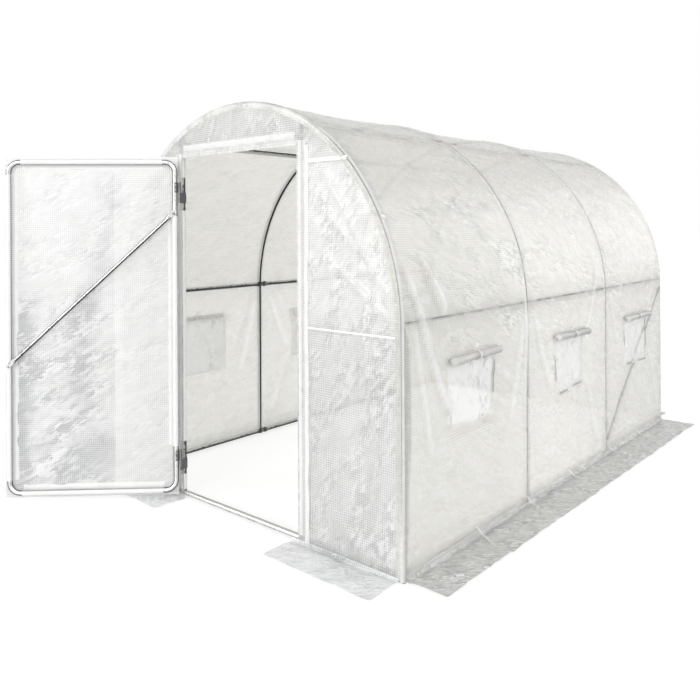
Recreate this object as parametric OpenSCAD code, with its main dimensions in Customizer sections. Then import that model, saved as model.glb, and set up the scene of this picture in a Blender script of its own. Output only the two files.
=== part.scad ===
// Walk-in polytunnel greenhouse: tube hoops under a reinforced film cover,
// with a hinged door leaf in the front gable and roll-up windows in both sides.
// Millimetres. +Z up, +Y towards the rear gable, origin on the ground in the
// middle of the ground plan with the door standing open.

/* [Frame] */
// Width over the hoop tubes
span_w = 2000; // [1700:10:2600]
// Height of the straight hoop legs
leg_h = 1000; // [800:10:1300]
// Spacing of the hoops
bay = 1030; // [850:10:1300]
// Outside diameter of the frame tubes
tube_d = 25; // [19:0.5:32]
// Rise of the side purlins above the springing of the arch, in degrees
side_purlin_rise = 1; // [0:0.5:6]
// Rise of the roof purlins above the springing of the arch, in degrees
roof_purlin_rise = 60; // [45:1:70]
// Clear height of the lowest rail ends over the ground
ground_gap = 4; // [2:0.5:15]

/* [Flattened tube ends] */
// Thickness of a flattened end
tab_t = 3.2; // [2:0.1:4]
// Flat length from the bolt to the taper
tab_l = 22; // [16:1:40]
// Length of the taper from flat to round
taper_l = 30; // [20:1:60]
// Inset of a rail's axis from the inner face of the hoops
rail_inset = 5; // [2:0.5:9]
// Free height between the end of a rail and the end of a brace
brace_gap = 18; // [6:1:60]

/* [Front gable] */
// Half of the clear width between the door posts
door_half = 420; // [340:5:500]
// Drop from the top of the hoop axis to the lintel axis
lintel_drop = 182; // [140:1:260]
// Height of the film valance under the lintel axis
valance_h = 43; // [25:1:90]
// Drop from the lintel axis to the upper gable rails
upper_rail_drop = 115; // [60:1:300]
// Drop from the side purlins to the middle gable rails
mid_rail_drop = 58; // [45:1:200]

/* [Film cover] */
// Thickness of the film
film_t = 2; // [1:0.1:4]
// Part of the half arch that one haunch sheet covers, in degrees
haunch_arc = 60; // [40:1:75]
// Width of the ground skirts
skirt_w = 190; // [80:5:300]
// How far a gable skirt stops short of the corner
skirt_stop = 20; // [0:1:60]
// How far a front skirt reaches past the door post into the doorway
skirt_reach = 30; // [0:1:60]

/* [Windows] */
// Width of a window
window_w = 400; // [250:5:520]
// Height of a window
window_h = 300; // [200:5:340]
// Height of a window's lower edge
window_z = 500; // [350:5:520]
// Border of the insect net behind the film
net_lap = 15; // [8:1:40]
// Thickness of the insect net
net_t = 1; // [0.8:0.1:2]
// Diameter of a rolled-up window flap
roll_d = 46; // [30:1:70]
// How far a roll reaches past its window at each end
roll_over = 40; // [0:1:100]

/* [Door leaf] */
// Angle at which the leaf stands open
door_open = 137; // [60:1:150]
// Width over the leaf's tubes
leaf_w = 865; // [700:5:1000]
// Clear height of the leaf's tubes over the ground
leaf_z = 35; // [30:1:80]
// Gap between the leaf's tubes and the valance's lower edge
leaf_head_gap = 12; // [6:1:40]
// Outside radius of the leaf's corners
leaf_corner_r = 65; // [45:1:120]
// Clear gap between the gable film and the leaf's tubes
leaf_gap = 9; // [7:0.5:15]
// Film border past the leaf's tubes
leaf_margin = 15; // [5:1:25]
// Diameter of the leaf's diagonal brace
leaf_brace_d = 16; // [12:0.5:19]
// Drop of the brace's upper bolt below the top of the leaf
leaf_brace_drop = 270; // [150:5:500]
// Rise of the brace's lower bolt above the foot of the leaf
leaf_brace_rise = 665; // [200:5:800]

/* [Hinges] */
// Height of the lower hinge's parting over the ground
low_hinge_z = 200; // [130:5:400]
// Drop of the upper hinge's parting below the top of the leaf
high_hinge_drop = 170; // [130:5:400]
// Height of each hinge half
hinge_h = 52; // [30:1:80]
// Wall of the saddles that grip the tubes
saddle_t = 3; // [2:0.5:5]
// Outside radius of the knuckles
knuckle_r = 6; // [5:0.5:9]
// Radius of the hinge pins
pin_r = 3; // [2:0.25:4]
// Length of the web between a knuckle and the leaf's tube
eye_web = 5.5; // [4.5:0.5:12]
// How far the pin stands inside the clear width of the doorway
pin_inset = 8; // [6:0.5:16]

/* [Hidden] */
$fn = 48;
// Gap at a seat between pieces that touch on the real thing
seat = 0.3;
// Radial clearance of a hinge pin in its eye
pin_clear = 0.05;
// Thickness of the end slices that shape a taper
slice = 0.2;
// Overrun of a cutting shape
over = 1;
// Depth to which a hinge arm runs into its saddle
arm_lap = 1;

tube_r = tube_d / 2;
hoop_r = span_w / 2 - tube_r;
inner_r = hoop_r - tube_r;
film_r = hoop_r + tube_r + seat;
film_out_r = film_r + film_t;
bays = 3;
tunnel_l = bays * bay;

film_y = tube_r + seat;
film_out_y = film_y + film_t;
hinge_y = -(film_out_y + leaf_gap + tube_r);
hinge_x = -(door_half - pin_inset);
stile_a = knuckle_r + eye_web + tube_r;
leaf_a = stile_a - tube_r;
free_a = leaf_a + leaf_w - tube_r;
leaf_end_a = leaf_a + leaf_w + leaf_margin;

// Reach of the open leaf in front of the front hoop, and of the cover behind the rear one
leaf_film_b = tube_r + seat + film_t;
front_reach = leaf_end_a * sin(door_open) - hinge_y;
rear_reach = film_out_y + seat + skirt_w;
front_y = (front_reach - tunnel_l - rear_reach) / 2;
rear_y = front_y + tunnel_l;

purlin_z = leg_h + hoop_r * sin(side_purlin_rise);
flat_w = flat_width(tube_d);
base_z = ground_gap + flat_w / 2;
brace_low_z = base_z + flat_w + brace_gap;
brace_high_z = purlin_z - flat_w - brace_gap;

post_x = door_half + tube_r;
lintel_z = leg_h + hoop_r - lintel_drop;
head_z = lintel_z - valance_h;
upper_rail_z = lintel_z - upper_rail_drop;
mid_rail_z = purlin_z - mid_rail_drop;
rail_stop = inner_r - tab_t - 2 * seat;

leaf_top = head_z - leaf_head_gap;
leaf_bend = leaf_corner_r - tube_r;
high_hinge_z = leaf_top - high_hinge_drop;
brace_head_z = leaf_top - leaf_brace_drop;
brace_foot_z = leaf_z + leaf_brace_rise;

roll_z = window_z + window_h;
roll_x = film_out_r + seat + roll_d / 2;

galvanised = "#8f969b";
dark_steel = "#5c6166";
film_white = "#e9efec";
net_grey = "#b9c0bd";
roll_grey = "#aab0ae";

function hoop_y(i) = front_y + i * bay;
function bay_mid_y(i) = hoop_y(i) + bay / 2;
// Width of a tube once it is pressed flat
function flat_width(d) = PI * d / 2 - tab_t;
// Distance of a flattened end's middle plane from its seat, for stacked ends
function layer_x(k) = -(seat + tab_t / 2 + k * (tab_t + seat));

// Shared shapes

module both_sides() {
    children();
    mirror([1, 0, 0]) children();
}

module tube_x(x0, x1) {
    translate([x0, 0, 0]) rotate([0, 90, 0]) cylinder(h = x1 - x0, d = tube_d);
}

// Half ring in the XZ plane, swept from one angle to another over the springing
module arc_sweep(from, to) {
    rotate([90, 0, 0]) rotate([0, 0, from]) rotate_extrude(angle = to - from, $fn = 96) children();
}

module hoop_arch(gap = 0) {
    translate([0, 0, leg_h]) arc_sweep(0, 180) translate([hoop_r, 0]) circle(r = tube_r + gap);
}

module hoop_legs(gap = 0) {
    both_sides() translate([hoop_r, 0, 0]) cylinder(h = leg_h - seat, r = tube_r + gap);
}

// Flattened end in the YZ plane, with its bolt at the origin and the tube towards +Y
module flat_end(d, mid_x, axis_x) {
    half = flat_width(d) / 2;
    nose = min(tube_r - seat, half);
    translate([mid_x - tab_t / 2, 0, 0]) rotate([90, 0, 90]) linear_extrude(tab_t) {
        circle(r = nose);
        polygon([[0, -nose], [tab_l, -half], [tab_l, half], [0, nose]]);
    }
    hull() {
        translate([mid_x - tab_t / 2, tab_l - slice, -half]) cube([tab_t, slice, 2 * half]);
        translate([axis_x, tab_l + taper_l, 0]) rotate([-90, 0, 0])
            cylinder(h = slice, d = d - slice, $fn = 32);
    }
}

// Tube along +Y between two bolts, with both ends flattened; x = 0 is the face it seats on
module flat_ended_tube(length, d, near_x, far_x, axis_x) {
    flat_end(d, near_x, axis_x);
    translate([0, length, 0]) mirror([0, 1, 0]) flat_end(d, far_x, axis_x);
    translate([axis_x, tab_l + taper_l, 0]) rotate([-90, 0, 0])
        cylinder(h = length - 2 * (tab_l + taper_l), d = d);
}

// One tube per bay; where two ends share a hoop the later one lies over the earlier one
module bay_tubes() {
    for (i = [0 : bays - 1])
        translate([0, hoop_y(i), 0])
            flat_ended_tube(bay, tube_d, layer_x(i == 0 ? 0 : 1), layer_x(0), -rail_inset);
}

module purlin(rise) {
    color(galvanised) translate([0, 0, leg_h]) rotate([0, -rise, 0]) translate([inner_r, 0, 0])
        bay_tubes();
}

module base_rail() {
    color(galvanised) translate([inner_r, 0, base_z]) bay_tubes();
}

// Outline of the tunnel's cross section, standing on the ground
module gable_outline(r) {
    intersection() {
        union() {
            translate([-r, 0]) square([2 * r, leg_h]);
            translate([0, leg_h]) circle(r = r, $fn = 360);
        }
        translate([-r, 0]) square([2 * r, leg_h + r]);
    }
}

// Film sheet across the tunnel, from y to y + film_t
module gable_sheet(y) {
    translate([0, y + film_t, 0]) rotate([90, 0, 0]) linear_extrude(film_t) children();
}

module roof_sheet(from, to) {
    seam = seat / film_r * 90 / PI;
    color(film_white) translate([0, 0, leg_h]) arc_sweep(from + seam, to - seam)
        translate([film_r, -(rear_y + film_out_y)]) square([film_t, tunnel_l + 2 * film_out_y]);
}

// Frame tubes

module front_hoop_legs() {
    color(galvanised) translate([0, hoop_y(0), 0]) hoop_legs();
}

module front_hoop_arch() {
    color(galvanised) translate([0, hoop_y(0), 0]) hoop_arch();
}

module second_hoop_legs() {
    color(galvanised) translate([0, hoop_y(1), 0]) hoop_legs();
}

module second_hoop_arch() {
    color(galvanised) translate([0, hoop_y(1), 0]) hoop_arch();
}

module third_hoop_legs() {
    color(galvanised) translate([0, hoop_y(2), 0]) hoop_legs();
}

module third_hoop_arch() {
    color(galvanised) translate([0, hoop_y(2), 0]) hoop_arch();
}

module rear_hoop_legs() {
    color(galvanised) translate([0, hoop_y(3), 0]) hoop_legs();
}

module rear_hoop_arch() {
    color(galvanised) translate([0, hoop_y(3), 0]) hoop_arch();
}

module right_side_purlin() { purlin(side_purlin_rise); }

module left_side_purlin() { mirror([1, 0, 0]) purlin(side_purlin_rise); }

module right_roof_purlin() { purlin(roof_purlin_rise); }

module left_roof_purlin() { mirror([1, 0, 0]) purlin(roof_purlin_rise); }

module right_base_rail() { base_rail(); }

module left_base_rail() { mirror([1, 0, 0]) base_rail(); }

// Space that a door post takes up, with its seat
module post_space() {
    translate([post_x, 0, 0]) cylinder(h = leg_h + span_w, r = tube_r + seat);
}

module front_sill() {
    color(galvanised) translate([0, front_y, 0]) difference() {
        translate([0, 0, base_z]) tube_x(-post_x, post_x);
        both_sides() post_space();
    }
}

module rear_sill() {
    color(galvanised) translate([0, rear_y, base_z]) tube_x(-rail_stop, rail_stop);
}

// Foot, middle and upper rail from a door post to the hoop
module front_gable_rails() {
    color(galvanised) translate([0, front_y, 0]) both_sides() difference() {
        union() {
            translate([0, 0, base_z]) tube_x(post_x, rail_stop);
            translate([0, 0, mid_rail_z]) tube_x(post_x, hoop_r);
            translate([0, 0, upper_rail_z])
                tube_x(post_x, sqrt(pow(hoop_r, 2) - pow(upper_rail_z - leg_h, 2)));
        }
        post_space();
        hoop_legs(seat);
        hoop_arch(seat);
    }
}

module door_post() {
    color(galvanised) translate([0, front_y, 0]) difference() {
        translate([post_x, 0, 0]) cylinder(h = leg_h + sqrt(pow(hoop_r, 2) - pow(post_x, 2)), r = tube_r);
        hoop_arch(seat);
    }
}

module right_door_post() { door_post(); }

module left_door_post() { mirror([1, 0, 0]) door_post(); }

module door_lintel() {
    color(galvanised) translate([0, front_y, 0]) difference() {
        translate([0, 0, lintel_z]) tube_x(-post_x, post_x);
        both_sides() post_space();
    }
}

// Diagonal of the rear bay, from the foot of the third hoop to the rear hoop
module rear_bay_braces() {
    rise = brace_high_z - brace_low_z;
    color(galvanised) both_sides()
        translate([inner_r, hoop_y(2), brace_low_z]) rotate([atan2(rise, bay), 0, 0])
            flat_ended_tube(norm([bay, rise]), tube_d, layer_x(0), layer_x(0), -rail_inset);
}

// Film cover

module wall_film() {
    color(film_white) difference() {
        translate([film_r, front_y - film_out_y, 0]) cube([film_t, tunnel_l + 2 * film_out_y, leg_h]);
        for (i = [0 : bays - 1])
            translate([film_r - over, bay_mid_y(i) - window_w / 2, window_z])
                cube([film_t + 2 * over, window_w, window_h]);
    }
}

module right_wall_film() { wall_film(); }

module left_wall_film() { mirror([1, 0, 0]) wall_film(); }

module right_haunch_film() { roof_sheet(0, haunch_arc); }

module crown_film() { roof_sheet(haunch_arc, 180 - haunch_arc); }

module left_haunch_film() { roof_sheet(180 - haunch_arc, 180); }

// Gable film beside the doorway
module front_side_film() {
    color(film_white) gable_sheet(front_y - film_out_y) difference() {
        gable_outline(film_r - seat);
        translate([-span_w, -over]) square([span_w + door_half, leg_h + span_w]);
    }
}

module front_right_film() { front_side_film(); }

module front_left_film() { mirror([1, 0, 0]) front_side_film(); }

module front_head_film() {
    half = door_half - seat;
    color(film_white) gable_sheet(front_y - film_out_y) intersection() {
        gable_outline(film_r - seat);
        translate([-half, head_z]) square([2 * half, span_w]);
    }
}

module rear_film() {
    color(film_white) gable_sheet(rear_y + film_y) gable_outline(film_r - seat);
}

module front_skirts() {
    x0 = door_half - skirt_reach;
    x1 = span_w / 2 - skirt_stop;
    color(film_white) both_sides()
        translate([x0, front_y - film_out_y - seat - skirt_w, 0]) cube([x1 - x0, skirt_w, film_t]);
}

module side_skirt() {
    color(film_white) translate([film_out_r + seat, front_y, 0]) cube([skirt_w, tunnel_l, film_t]);
}

module right_skirt() { side_skirt(); }

module left_skirt() { mirror([1, 0, 0]) side_skirt(); }

module rear_skirt() {
    x1 = span_w / 2 - skirt_stop;
    color(film_white) translate([-x1, rear_y + film_out_y + seat, 0]) cube([2 * x1, skirt_w, film_t]);
}

// Windows

module window_nets() {
    color(net_grey) for (i = [0 : bays - 1])
        translate([film_r - seat - net_t, bay_mid_y(i) - window_w / 2 - net_lap, window_z - net_lap])
            cube([net_t, window_w + 2 * net_lap, window_h + 2 * net_lap]);
}

module right_window_nets() { window_nets(); }

module left_window_nets() { mirror([1, 0, 0]) window_nets(); }

module window_rolls() {
    length = window_w + 2 * roll_over;
    color(roll_grey) for (i = [0 : bays - 1])
        translate([roll_x, bay_mid_y(i) - length / 2, roll_z]) rotate([-90, 0, 0])
            cylinder(h = length, d = roll_d);
}

module right_window_rolls() { window_rolls(); }

module left_window_rolls() { mirror([1, 0, 0]) window_rolls(); }

// Door leaf, drawn shut along +X from the hinge axis and then turned open

module on_leaf() {
    translate([hinge_x, front_y + hinge_y, 0]) rotate([0, 0, -door_open]) children();
}

// Cross tube with both of its bends; the bends turn down to the stiles
module leaf_bow() {
    near = stile_a + leaf_bend;
    far = free_a - leaf_bend;
    translate([0, 0, leaf_bend]) tube_x(near, far);
    translate([far, 0, 0]) arc_sweep(0, 90) translate([leaf_bend, 0]) circle(r = tube_r);
    translate([near, 0, 0]) arc_sweep(90, 180) translate([leaf_bend, 0]) circle(r = tube_r);
}

module door_top_bow() {
    color(galvanised) on_leaf() translate([0, 0, leaf_top - leaf_corner_r]) leaf_bow();
}

module door_bottom_bow() {
    color(galvanised) on_leaf() translate([0, 0, leaf_z + leaf_corner_r]) mirror([0, 0, 1]) leaf_bow();
}

module door_stiles() {
    foot = leaf_z + leaf_corner_r + seat;
    color(galvanised) on_leaf() for (a = [stile_a, free_a])
        translate([a, 0, foot]) cylinder(h = leaf_top - leaf_corner_r - seat - foot, r = tube_r);
}

// Diagonal on the inner face of the leaf, from the free stile up to the hinge stile
module door_brace() {
    run = free_a - stile_a;
    drop = brace_foot_z - brace_head_z;
    color(dark_steel) on_leaf()
        translate([stile_a, tube_r, brace_head_z]) rotate([0, -atan2(drop, run), 0]) rotate([0, 0, -90])
            flat_ended_tube(norm([run, drop]), leaf_brace_d, layer_x(0), layer_x(0), tube_r / 2);
}

module door_film() {
    color(film_white) on_leaf()
        translate([leaf_a, -leaf_film_b, leaf_z - leaf_margin])
            cube([leaf_end_a - leaf_a, film_t, leaf_top - leaf_z + 2 * leaf_margin]);
}

// Hinges

// Half saddle round a tube at the origin, on the side towards +X and clear of the film
module saddle() {
    inside = tube_r + seat;
    difference() {
        cylinder(h = hinge_h, r = inside + saddle_t);
        translate([0, 0, -over]) cylinder(h = hinge_h + 2 * over, r = inside);
        translate([-span_w, -span_w / 2, -over]) cube([span_w, span_w, hinge_h + 2 * over]);
        translate([-over, -span_w - tube_r, -over]) cube([span_w, span_w, hinge_h + 2 * over]);
    }
}

// Eye that turns on the pin, with its web and its saddle on the hinge stile
module hinge_eye() {
    difference() {
        union() {
            cylinder(h = hinge_h, r = knuckle_r);
            translate([0, -saddle_t / 2, 0])
                cube([stile_a - tube_r - seat - saddle_t / 2, saddle_t, hinge_h]);
            translate([stile_a, 0, 0]) mirror([1, 0, 0]) saddle();
        }
        translate([0, 0, -over]) cylinder(h = hinge_h + 2 * over, r = pin_r + pin_clear);
    }
}

module door_hinge_eyes() {
    color(dark_steel) on_leaf() for (z = [low_hinge_z, high_hinge_z])
        translate([0, 0, z + seat]) hinge_eye();
}

// Saddle on the door post, with the arm and knuckle that carry the upright pin
module hinge_pin() {
    post = [-post_x - hinge_x, -hinge_y];
    arm_x = post.x + tube_r + seat + saddle_t - arm_lap;
    cylinder(h = hinge_h, r = knuckle_r);
    cylinder(h = 2 * hinge_h + saddle_t, r = pin_r);
    translate([arm_x, 0, 0]) cube([saddle_t + arm_lap, post.y + tube_r / 2, hinge_h]);
    translate([post.x, post.y, 0]) saddle();
}

module post_hinge_pins() {
    color(dark_steel) translate([hinge_x, front_y + hinge_y, 0]) for (z = [low_hinge_z, high_hinge_z])
        translate([0, 0, z - hinge_h]) hinge_pin();
}

front_hoop_legs();
front_hoop_arch();
second_hoop_legs();
second_hoop_arch();
third_hoop_legs();
third_hoop_arch();
rear_hoop_legs();
rear_hoop_arch();
left_side_purlin();
right_side_purlin();
left_roof_purlin();
right_roof_purlin();
left_base_rail();
right_base_rail();
front_sill();
rear_sill();
front_gable_rails();
left_door_post();
right_door_post();
door_lintel();
rear_bay_braces();
left_wall_film();
right_wall_film();
left_haunch_film();
crown_film();
right_haunch_film();
front_left_film();
front_right_film();
front_head_film();
rear_film();
front_skirts();
left_skirt();
right_skirt();
rear_skirt();
left_window_nets();
right_window_nets();
left_window_rolls();
right_window_rolls();
door_top_bow();
door_bottom_bow();
door_stiles();
door_brace();
door_film();
door_hinge_eyes();
post_hinge_pins();
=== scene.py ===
# %% [markdown]
# # A polytunnel greenhouse
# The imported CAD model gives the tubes, the hinges and every size. This script dresses it:
# thin woven film instead of plain plates, rolled flaps, nets, sleeves, bolts and seams.
# Everything is in metres, in the CAD model's own frame, so a piece goes where its tube is.

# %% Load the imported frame
import math

import bpy
import numpy as np
from mathutils import Matrix, Vector


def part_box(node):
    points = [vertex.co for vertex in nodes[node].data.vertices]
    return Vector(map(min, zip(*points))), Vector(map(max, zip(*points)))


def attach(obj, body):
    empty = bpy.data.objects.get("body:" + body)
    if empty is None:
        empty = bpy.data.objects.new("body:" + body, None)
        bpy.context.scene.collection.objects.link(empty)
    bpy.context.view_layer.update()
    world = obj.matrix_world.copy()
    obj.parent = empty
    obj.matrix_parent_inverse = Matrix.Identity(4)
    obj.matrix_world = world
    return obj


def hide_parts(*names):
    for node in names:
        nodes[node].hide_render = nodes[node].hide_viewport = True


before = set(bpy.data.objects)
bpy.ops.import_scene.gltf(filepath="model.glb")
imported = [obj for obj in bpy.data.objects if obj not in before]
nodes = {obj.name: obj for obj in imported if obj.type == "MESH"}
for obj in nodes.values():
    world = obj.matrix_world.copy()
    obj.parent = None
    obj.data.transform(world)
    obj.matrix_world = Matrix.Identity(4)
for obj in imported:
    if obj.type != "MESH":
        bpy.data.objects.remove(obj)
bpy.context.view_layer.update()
scene = bpy.context.scene
scene.view_settings.view_transform = "Standard"

# %% [markdown]
# ## Where things are
# The boxes of the CAD nodes give the main places, so no size is typed twice. The film lies on
# the hoops, so its radius is the hoop's radius, the tube's and a hair of air.

# %% Main places, read from the frame
def middle(node, axis):
    low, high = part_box(node)
    return (low[axis] + high[axis]) / 2


HOOPS = ("front", "second", "third", "rear")
hoop_y = [middle(f"{name}_hoop_legs", 1) for name in HOOPS]
bay = hoop_y[1] - hoop_y[0]
leg_low, leg_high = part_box("front_hoop_legs")
tube_r = (leg_high.y - leg_low.y) / 2
hoop_r = leg_high.x - tube_r
leg_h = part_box("front_hoop_arch")[0].z
air = 0.0013
film_r = hoop_r + tube_r + air
post_x = middle("right_door_post", 0)
lintel_z = middle("door_lintel", 2)
head_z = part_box("front_head_film")[0].z
door_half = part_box("front_right_film")[0].x
print("hoops at", [round(y, 3) for y in hoop_y], "film radius", round(film_r, 4))

# %% [markdown]
# ## Camera
# The photograph was taken level, so upright tubes stay upright in it. A level camera with a
# lens shift keeps them so; tilting the camera down would make them converge.

# %% Camera at the photograph's place
camera_data = bpy.data.cameras.new("camera")
camera_data.sensor_width = 36
camera_data.lens = 36.69
camera_data.shift_x = -0.0099
camera_data.shift_y = -0.1751
camera = bpy.data.objects.new("camera", camera_data)
CAMERA_PLACE = (2.672, -3.5754, 1.397)
camera_turn = math.radians(40.38)
camera_roll = math.radians(-0.28)
camera.matrix_world = (
    Matrix.Translation(CAMERA_PLACE)
    @ Matrix.Rotation(camera_turn, 4, "Z")
    @ Matrix.Rotation(math.pi / 2, 4, "X")
    @ Matrix.Rotation(camera_roll, 4, "Z")
)
scene.collection.objects.link(camera)
scene.camera = camera
print("camera lens", camera_data.lens, "mm")

# %% [markdown]
# ## Node helpers
# A material is a small graph. These helpers add a node, wire it and set its plain values, so
# that each material below reads as a list of steps.

# %% Helpers for shader graphs
def add(tree, kind, **settings):
    made = tree.nodes.new(kind)
    for name, value in settings.items():
        setattr(made, name, value)
    return made


def feed(tree, socket, value):
    """Wires an output into a socket, or sets the socket's plain value."""
    if isinstance(value, bpy.types.NodeSocket):
        tree.links.new(value, socket)
    else:
        socket.default_value = value


def calc(tree, operation, *values, clamp=False):
    made = add(tree, "ShaderNodeMath", operation=operation, use_clamp=clamp)
    for socket, value in zip(made.inputs, values):
        feed(tree, socket, value)
    return made.outputs[0]


def remap(tree, value, low, high, to_low=0.0, to_high=1.0, kind="SMOOTHSTEP"):
    made = add(tree, "ShaderNodeMapRange", interpolation_type=kind)
    for socket, number in zip(made.inputs, (value, low, high, to_low, to_high)):
        feed(tree, socket, number)
    return made.outputs[0]


def tint(tree, factor, first, second):
    made = add(tree, "ShaderNodeMix", data_type="RGBA")
    feed(tree, made.inputs["Factor"], factor)
    feed(tree, made.inputs[6], first)
    feed(tree, made.inputs[7], second)
    return made.outputs[2]


def new_group(name, inputs, outputs):
    """An empty shader group with named sockets; returns its tree, inputs and outputs."""
    tree = bpy.data.node_groups.new(name, "ShaderNodeTree")
    for label, kind, value in inputs:
        socket = tree.interface.new_socket(name=label, in_out="INPUT", socket_type=kind)
        if value is not None:
            socket.default_value = value
    for label in outputs:
        tree.interface.new_socket(name=label, in_out="OUTPUT", socket_type="NodeSocketFloat")
    return tree, add(tree, "NodeGroupInput").outputs, add(tree, "NodeGroupOutput").inputs


def use_group(tree, group, **values):
    made = add(tree, "ShaderNodeGroup", node_tree=group)
    for name, value in values.items():
        feed(tree, made.inputs[name.replace("_", " ")], value)
    return made.outputs


def new_material(name, **plain):
    """A material with a Principled BSDF, whose even values are set on its own sockets."""
    made = bpy.data.materials.new(name)
    made.use_nodes = True
    tree = made.node_tree
    shader = tree.nodes["Principled BSDF"]
    for label, value in plain.items():
        shader.inputs[label.replace("_", " ")].default_value = value
    return made, tree, shader.inputs


print("node helpers ready")

# %% [markdown]
# ## Studio
# The photograph is a cut-out on white. The floor and the world look white to the camera, and
# light the object at a plain level by their own values. The lamps are broad suns, because a
# sun lights a wide floor evenly and leaves no horizon line.

# %% Floor, world and lamps
WHITE_SEEN = 1.0
SKY_SIDE, SKY_TOP = 0.70, 0.46


def seen_directly(tree):
    """1 for a ray that shows the background: straight, mirrored or through glass."""
    path = add(tree, "ShaderNodeLightPath").outputs
    either = calc(tree, "MAXIMUM", path["Is Camera Ray"], path["Is Glossy Ray"])
    return calc(tree, "MAXIMUM", either, path["Is Transmission Ray"])


def make_world():
    world = bpy.data.worlds.new("studio")
    scene.world = world
    world.use_nodes = True
    tree = world.node_tree
    tree.nodes.clear()
    seen = add(tree, "ShaderNodeBackground")
    seen.inputs["Strength"].default_value = WHITE_SEEN
    seen.inputs["Color"].default_value = (1, 1, 1, 1)
    light = add(tree, "ShaderNodeBackground")
    light.inputs["Color"].default_value = (1, 1, 1, 1)
    up = add(tree, "ShaderNodeSeparateXYZ")
    feed(tree, up.inputs[0], add(tree, "ShaderNodeTexCoord").outputs["Generated"])
    feed(tree, light.inputs["Strength"], remap(tree, up.outputs["Z"], 0.0, 1.0, SKY_SIDE, SKY_TOP))
    mix = add(tree, "ShaderNodeMixShader")
    feed(tree, mix.inputs[0], seen_directly(tree))
    feed(tree, mix.inputs[1], light.outputs[0])
    feed(tree, mix.inputs[2], seen.outputs[0])
    feed(tree, add(tree, "ShaderNodeOutputWorld").inputs["Surface"], mix.outputs[0])


def make_floor(half_side=60.0, own_white=0.55, lift=0.30):
    """Lit floor, lifted to plain white for the eye; own_white is the share that no shadow reaches."""
    mesh = bpy.data.meshes.new("floor")
    corners = [(-1, -1), (1, -1), (1, 1), (-1, 1)]
    mesh.from_pydata([(half_side * x, half_side * y, 0) for x, y in corners], [], [(0, 1, 2, 3)])
    floor = bpy.data.objects.new("floor", mesh)
    scene.collection.objects.link(floor)
    made = bpy.data.materials.new("pale floor")
    made.use_nodes = True
    tree = made.node_tree
    tree.nodes.clear()
    lit = add(tree, "ShaderNodeBsdfDiffuse")
    lit.inputs["Color"].default_value = (0.93, 0.93, 0.93, 1)
    seen = seen_directly(tree)
    extra = add(tree, "ShaderNodeEmission")
    feed(tree, extra.inputs["Strength"], calc(tree, "MULTIPLY", seen, lift))
    lifted = add(tree, "ShaderNodeAddShader")
    feed(tree, lifted.inputs[0], lit.outputs[0])
    feed(tree, lifted.inputs[1], extra.outputs[0])
    white = add(tree, "ShaderNodeEmission")
    white.inputs["Strength"].default_value = WHITE_SEEN
    mix = add(tree, "ShaderNodeMixShader")
    feed(tree, mix.inputs[0], calc(tree, "MULTIPLY", seen, own_white))
    feed(tree, mix.inputs[1], lifted.outputs[0])
    feed(tree, mix.inputs[2], white.outputs[0])
    feed(tree, add(tree, "ShaderNodeOutputMaterial").inputs["Surface"], mix.outputs[0])
    mesh.materials.append(made)


def sun(name, towards, strength, spread):
    data = bpy.data.lights.new(name, "SUN")
    data.energy = strength
    data.angle = math.radians(spread)
    lamp = bpy.data.objects.new(name, data)
    lamp.rotation_euler = Vector(towards).to_track_quat("-Z", "Y").to_euler()
    scene.collection.objects.link(lamp)


make_world()
make_floor()
sun("key", (-0.22, 0.88, -0.36), 0.78, 24)
sun("side", (0.50, 0.82, -0.25), 1.20, 14)
sun("fill", (-0.84, 0.16, -0.48), 0.72, 26)
sun("rim", (-0.38, -0.88, -0.24), 0.80, 40)
print("studio: sky", SKY_SIDE, "to", SKY_TOP, "and four suns")

# %% [markdown]
# ## Tube finishes
# Zinc-coated steel is a metal with a cloudy, slightly blotched gloss. One node group makes
# the blotches, and each metal uses it with its own colour. The group gives only masks and
# values; the Principled BSDF stays in the material. Each metal's colour carries painted shade:
# pale on the side that faces the light and dark on the other. A tube's flanks get a painted
# reflection of what is beside them, bright film or a dark gap, from Layer Weight.

# %% Blotches of the zinc
def zinc_group():
    tree, given, gives = new_group(
        "zinc bloom",
        [("Place", "NodeSocketVector", None), ("Scale", "NodeSocketFloat", 60.0)],
        ("Bloom", "Height"),
    )
    cloud = add(tree, "ShaderNodeTexNoise")
    feed(tree, cloud.inputs["Vector"], given["Place"])
    feed(tree, cloud.inputs["Scale"], given["Scale"])
    cloud.inputs["Detail"].default_value = 4
    spangle = add(tree, "ShaderNodeTexVoronoi")
    feed(tree, spangle.inputs["Vector"], given["Place"])
    feed(tree, spangle.inputs["Scale"], calc(tree, "MULTIPLY", given["Scale"], 2.5))
    patches = calc(tree, "MULTIPLY", spangle.outputs["Distance"], cloud.outputs["Fac"])
    feed(tree, gives["Bloom"], remap(tree, calc(tree, "ADD", patches, cloud.outputs["Fac"]), 0.35, 0.95))
    feed(tree, gives["Height"], cloud.outputs["Fac"])
    return tree


zinc_bloom = zinc_group()
print("group:", zinc_bloom.name)

# %% Metal
# Directions in which a metal is painted pale, as painted light: up towards the front left, or down to the
# white floor, as its painted reflection
LIT_SIDE, LIT_BELOW = (-0.45, -0.45, 0.77), (0.0, 0.0, -1.0)
# Heights between which the arch leans away from the eye, and what that adds to Layer Weight's angle
ARCH_LEAN = (1.10, 1.75, 0.0, 0.125)


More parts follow.
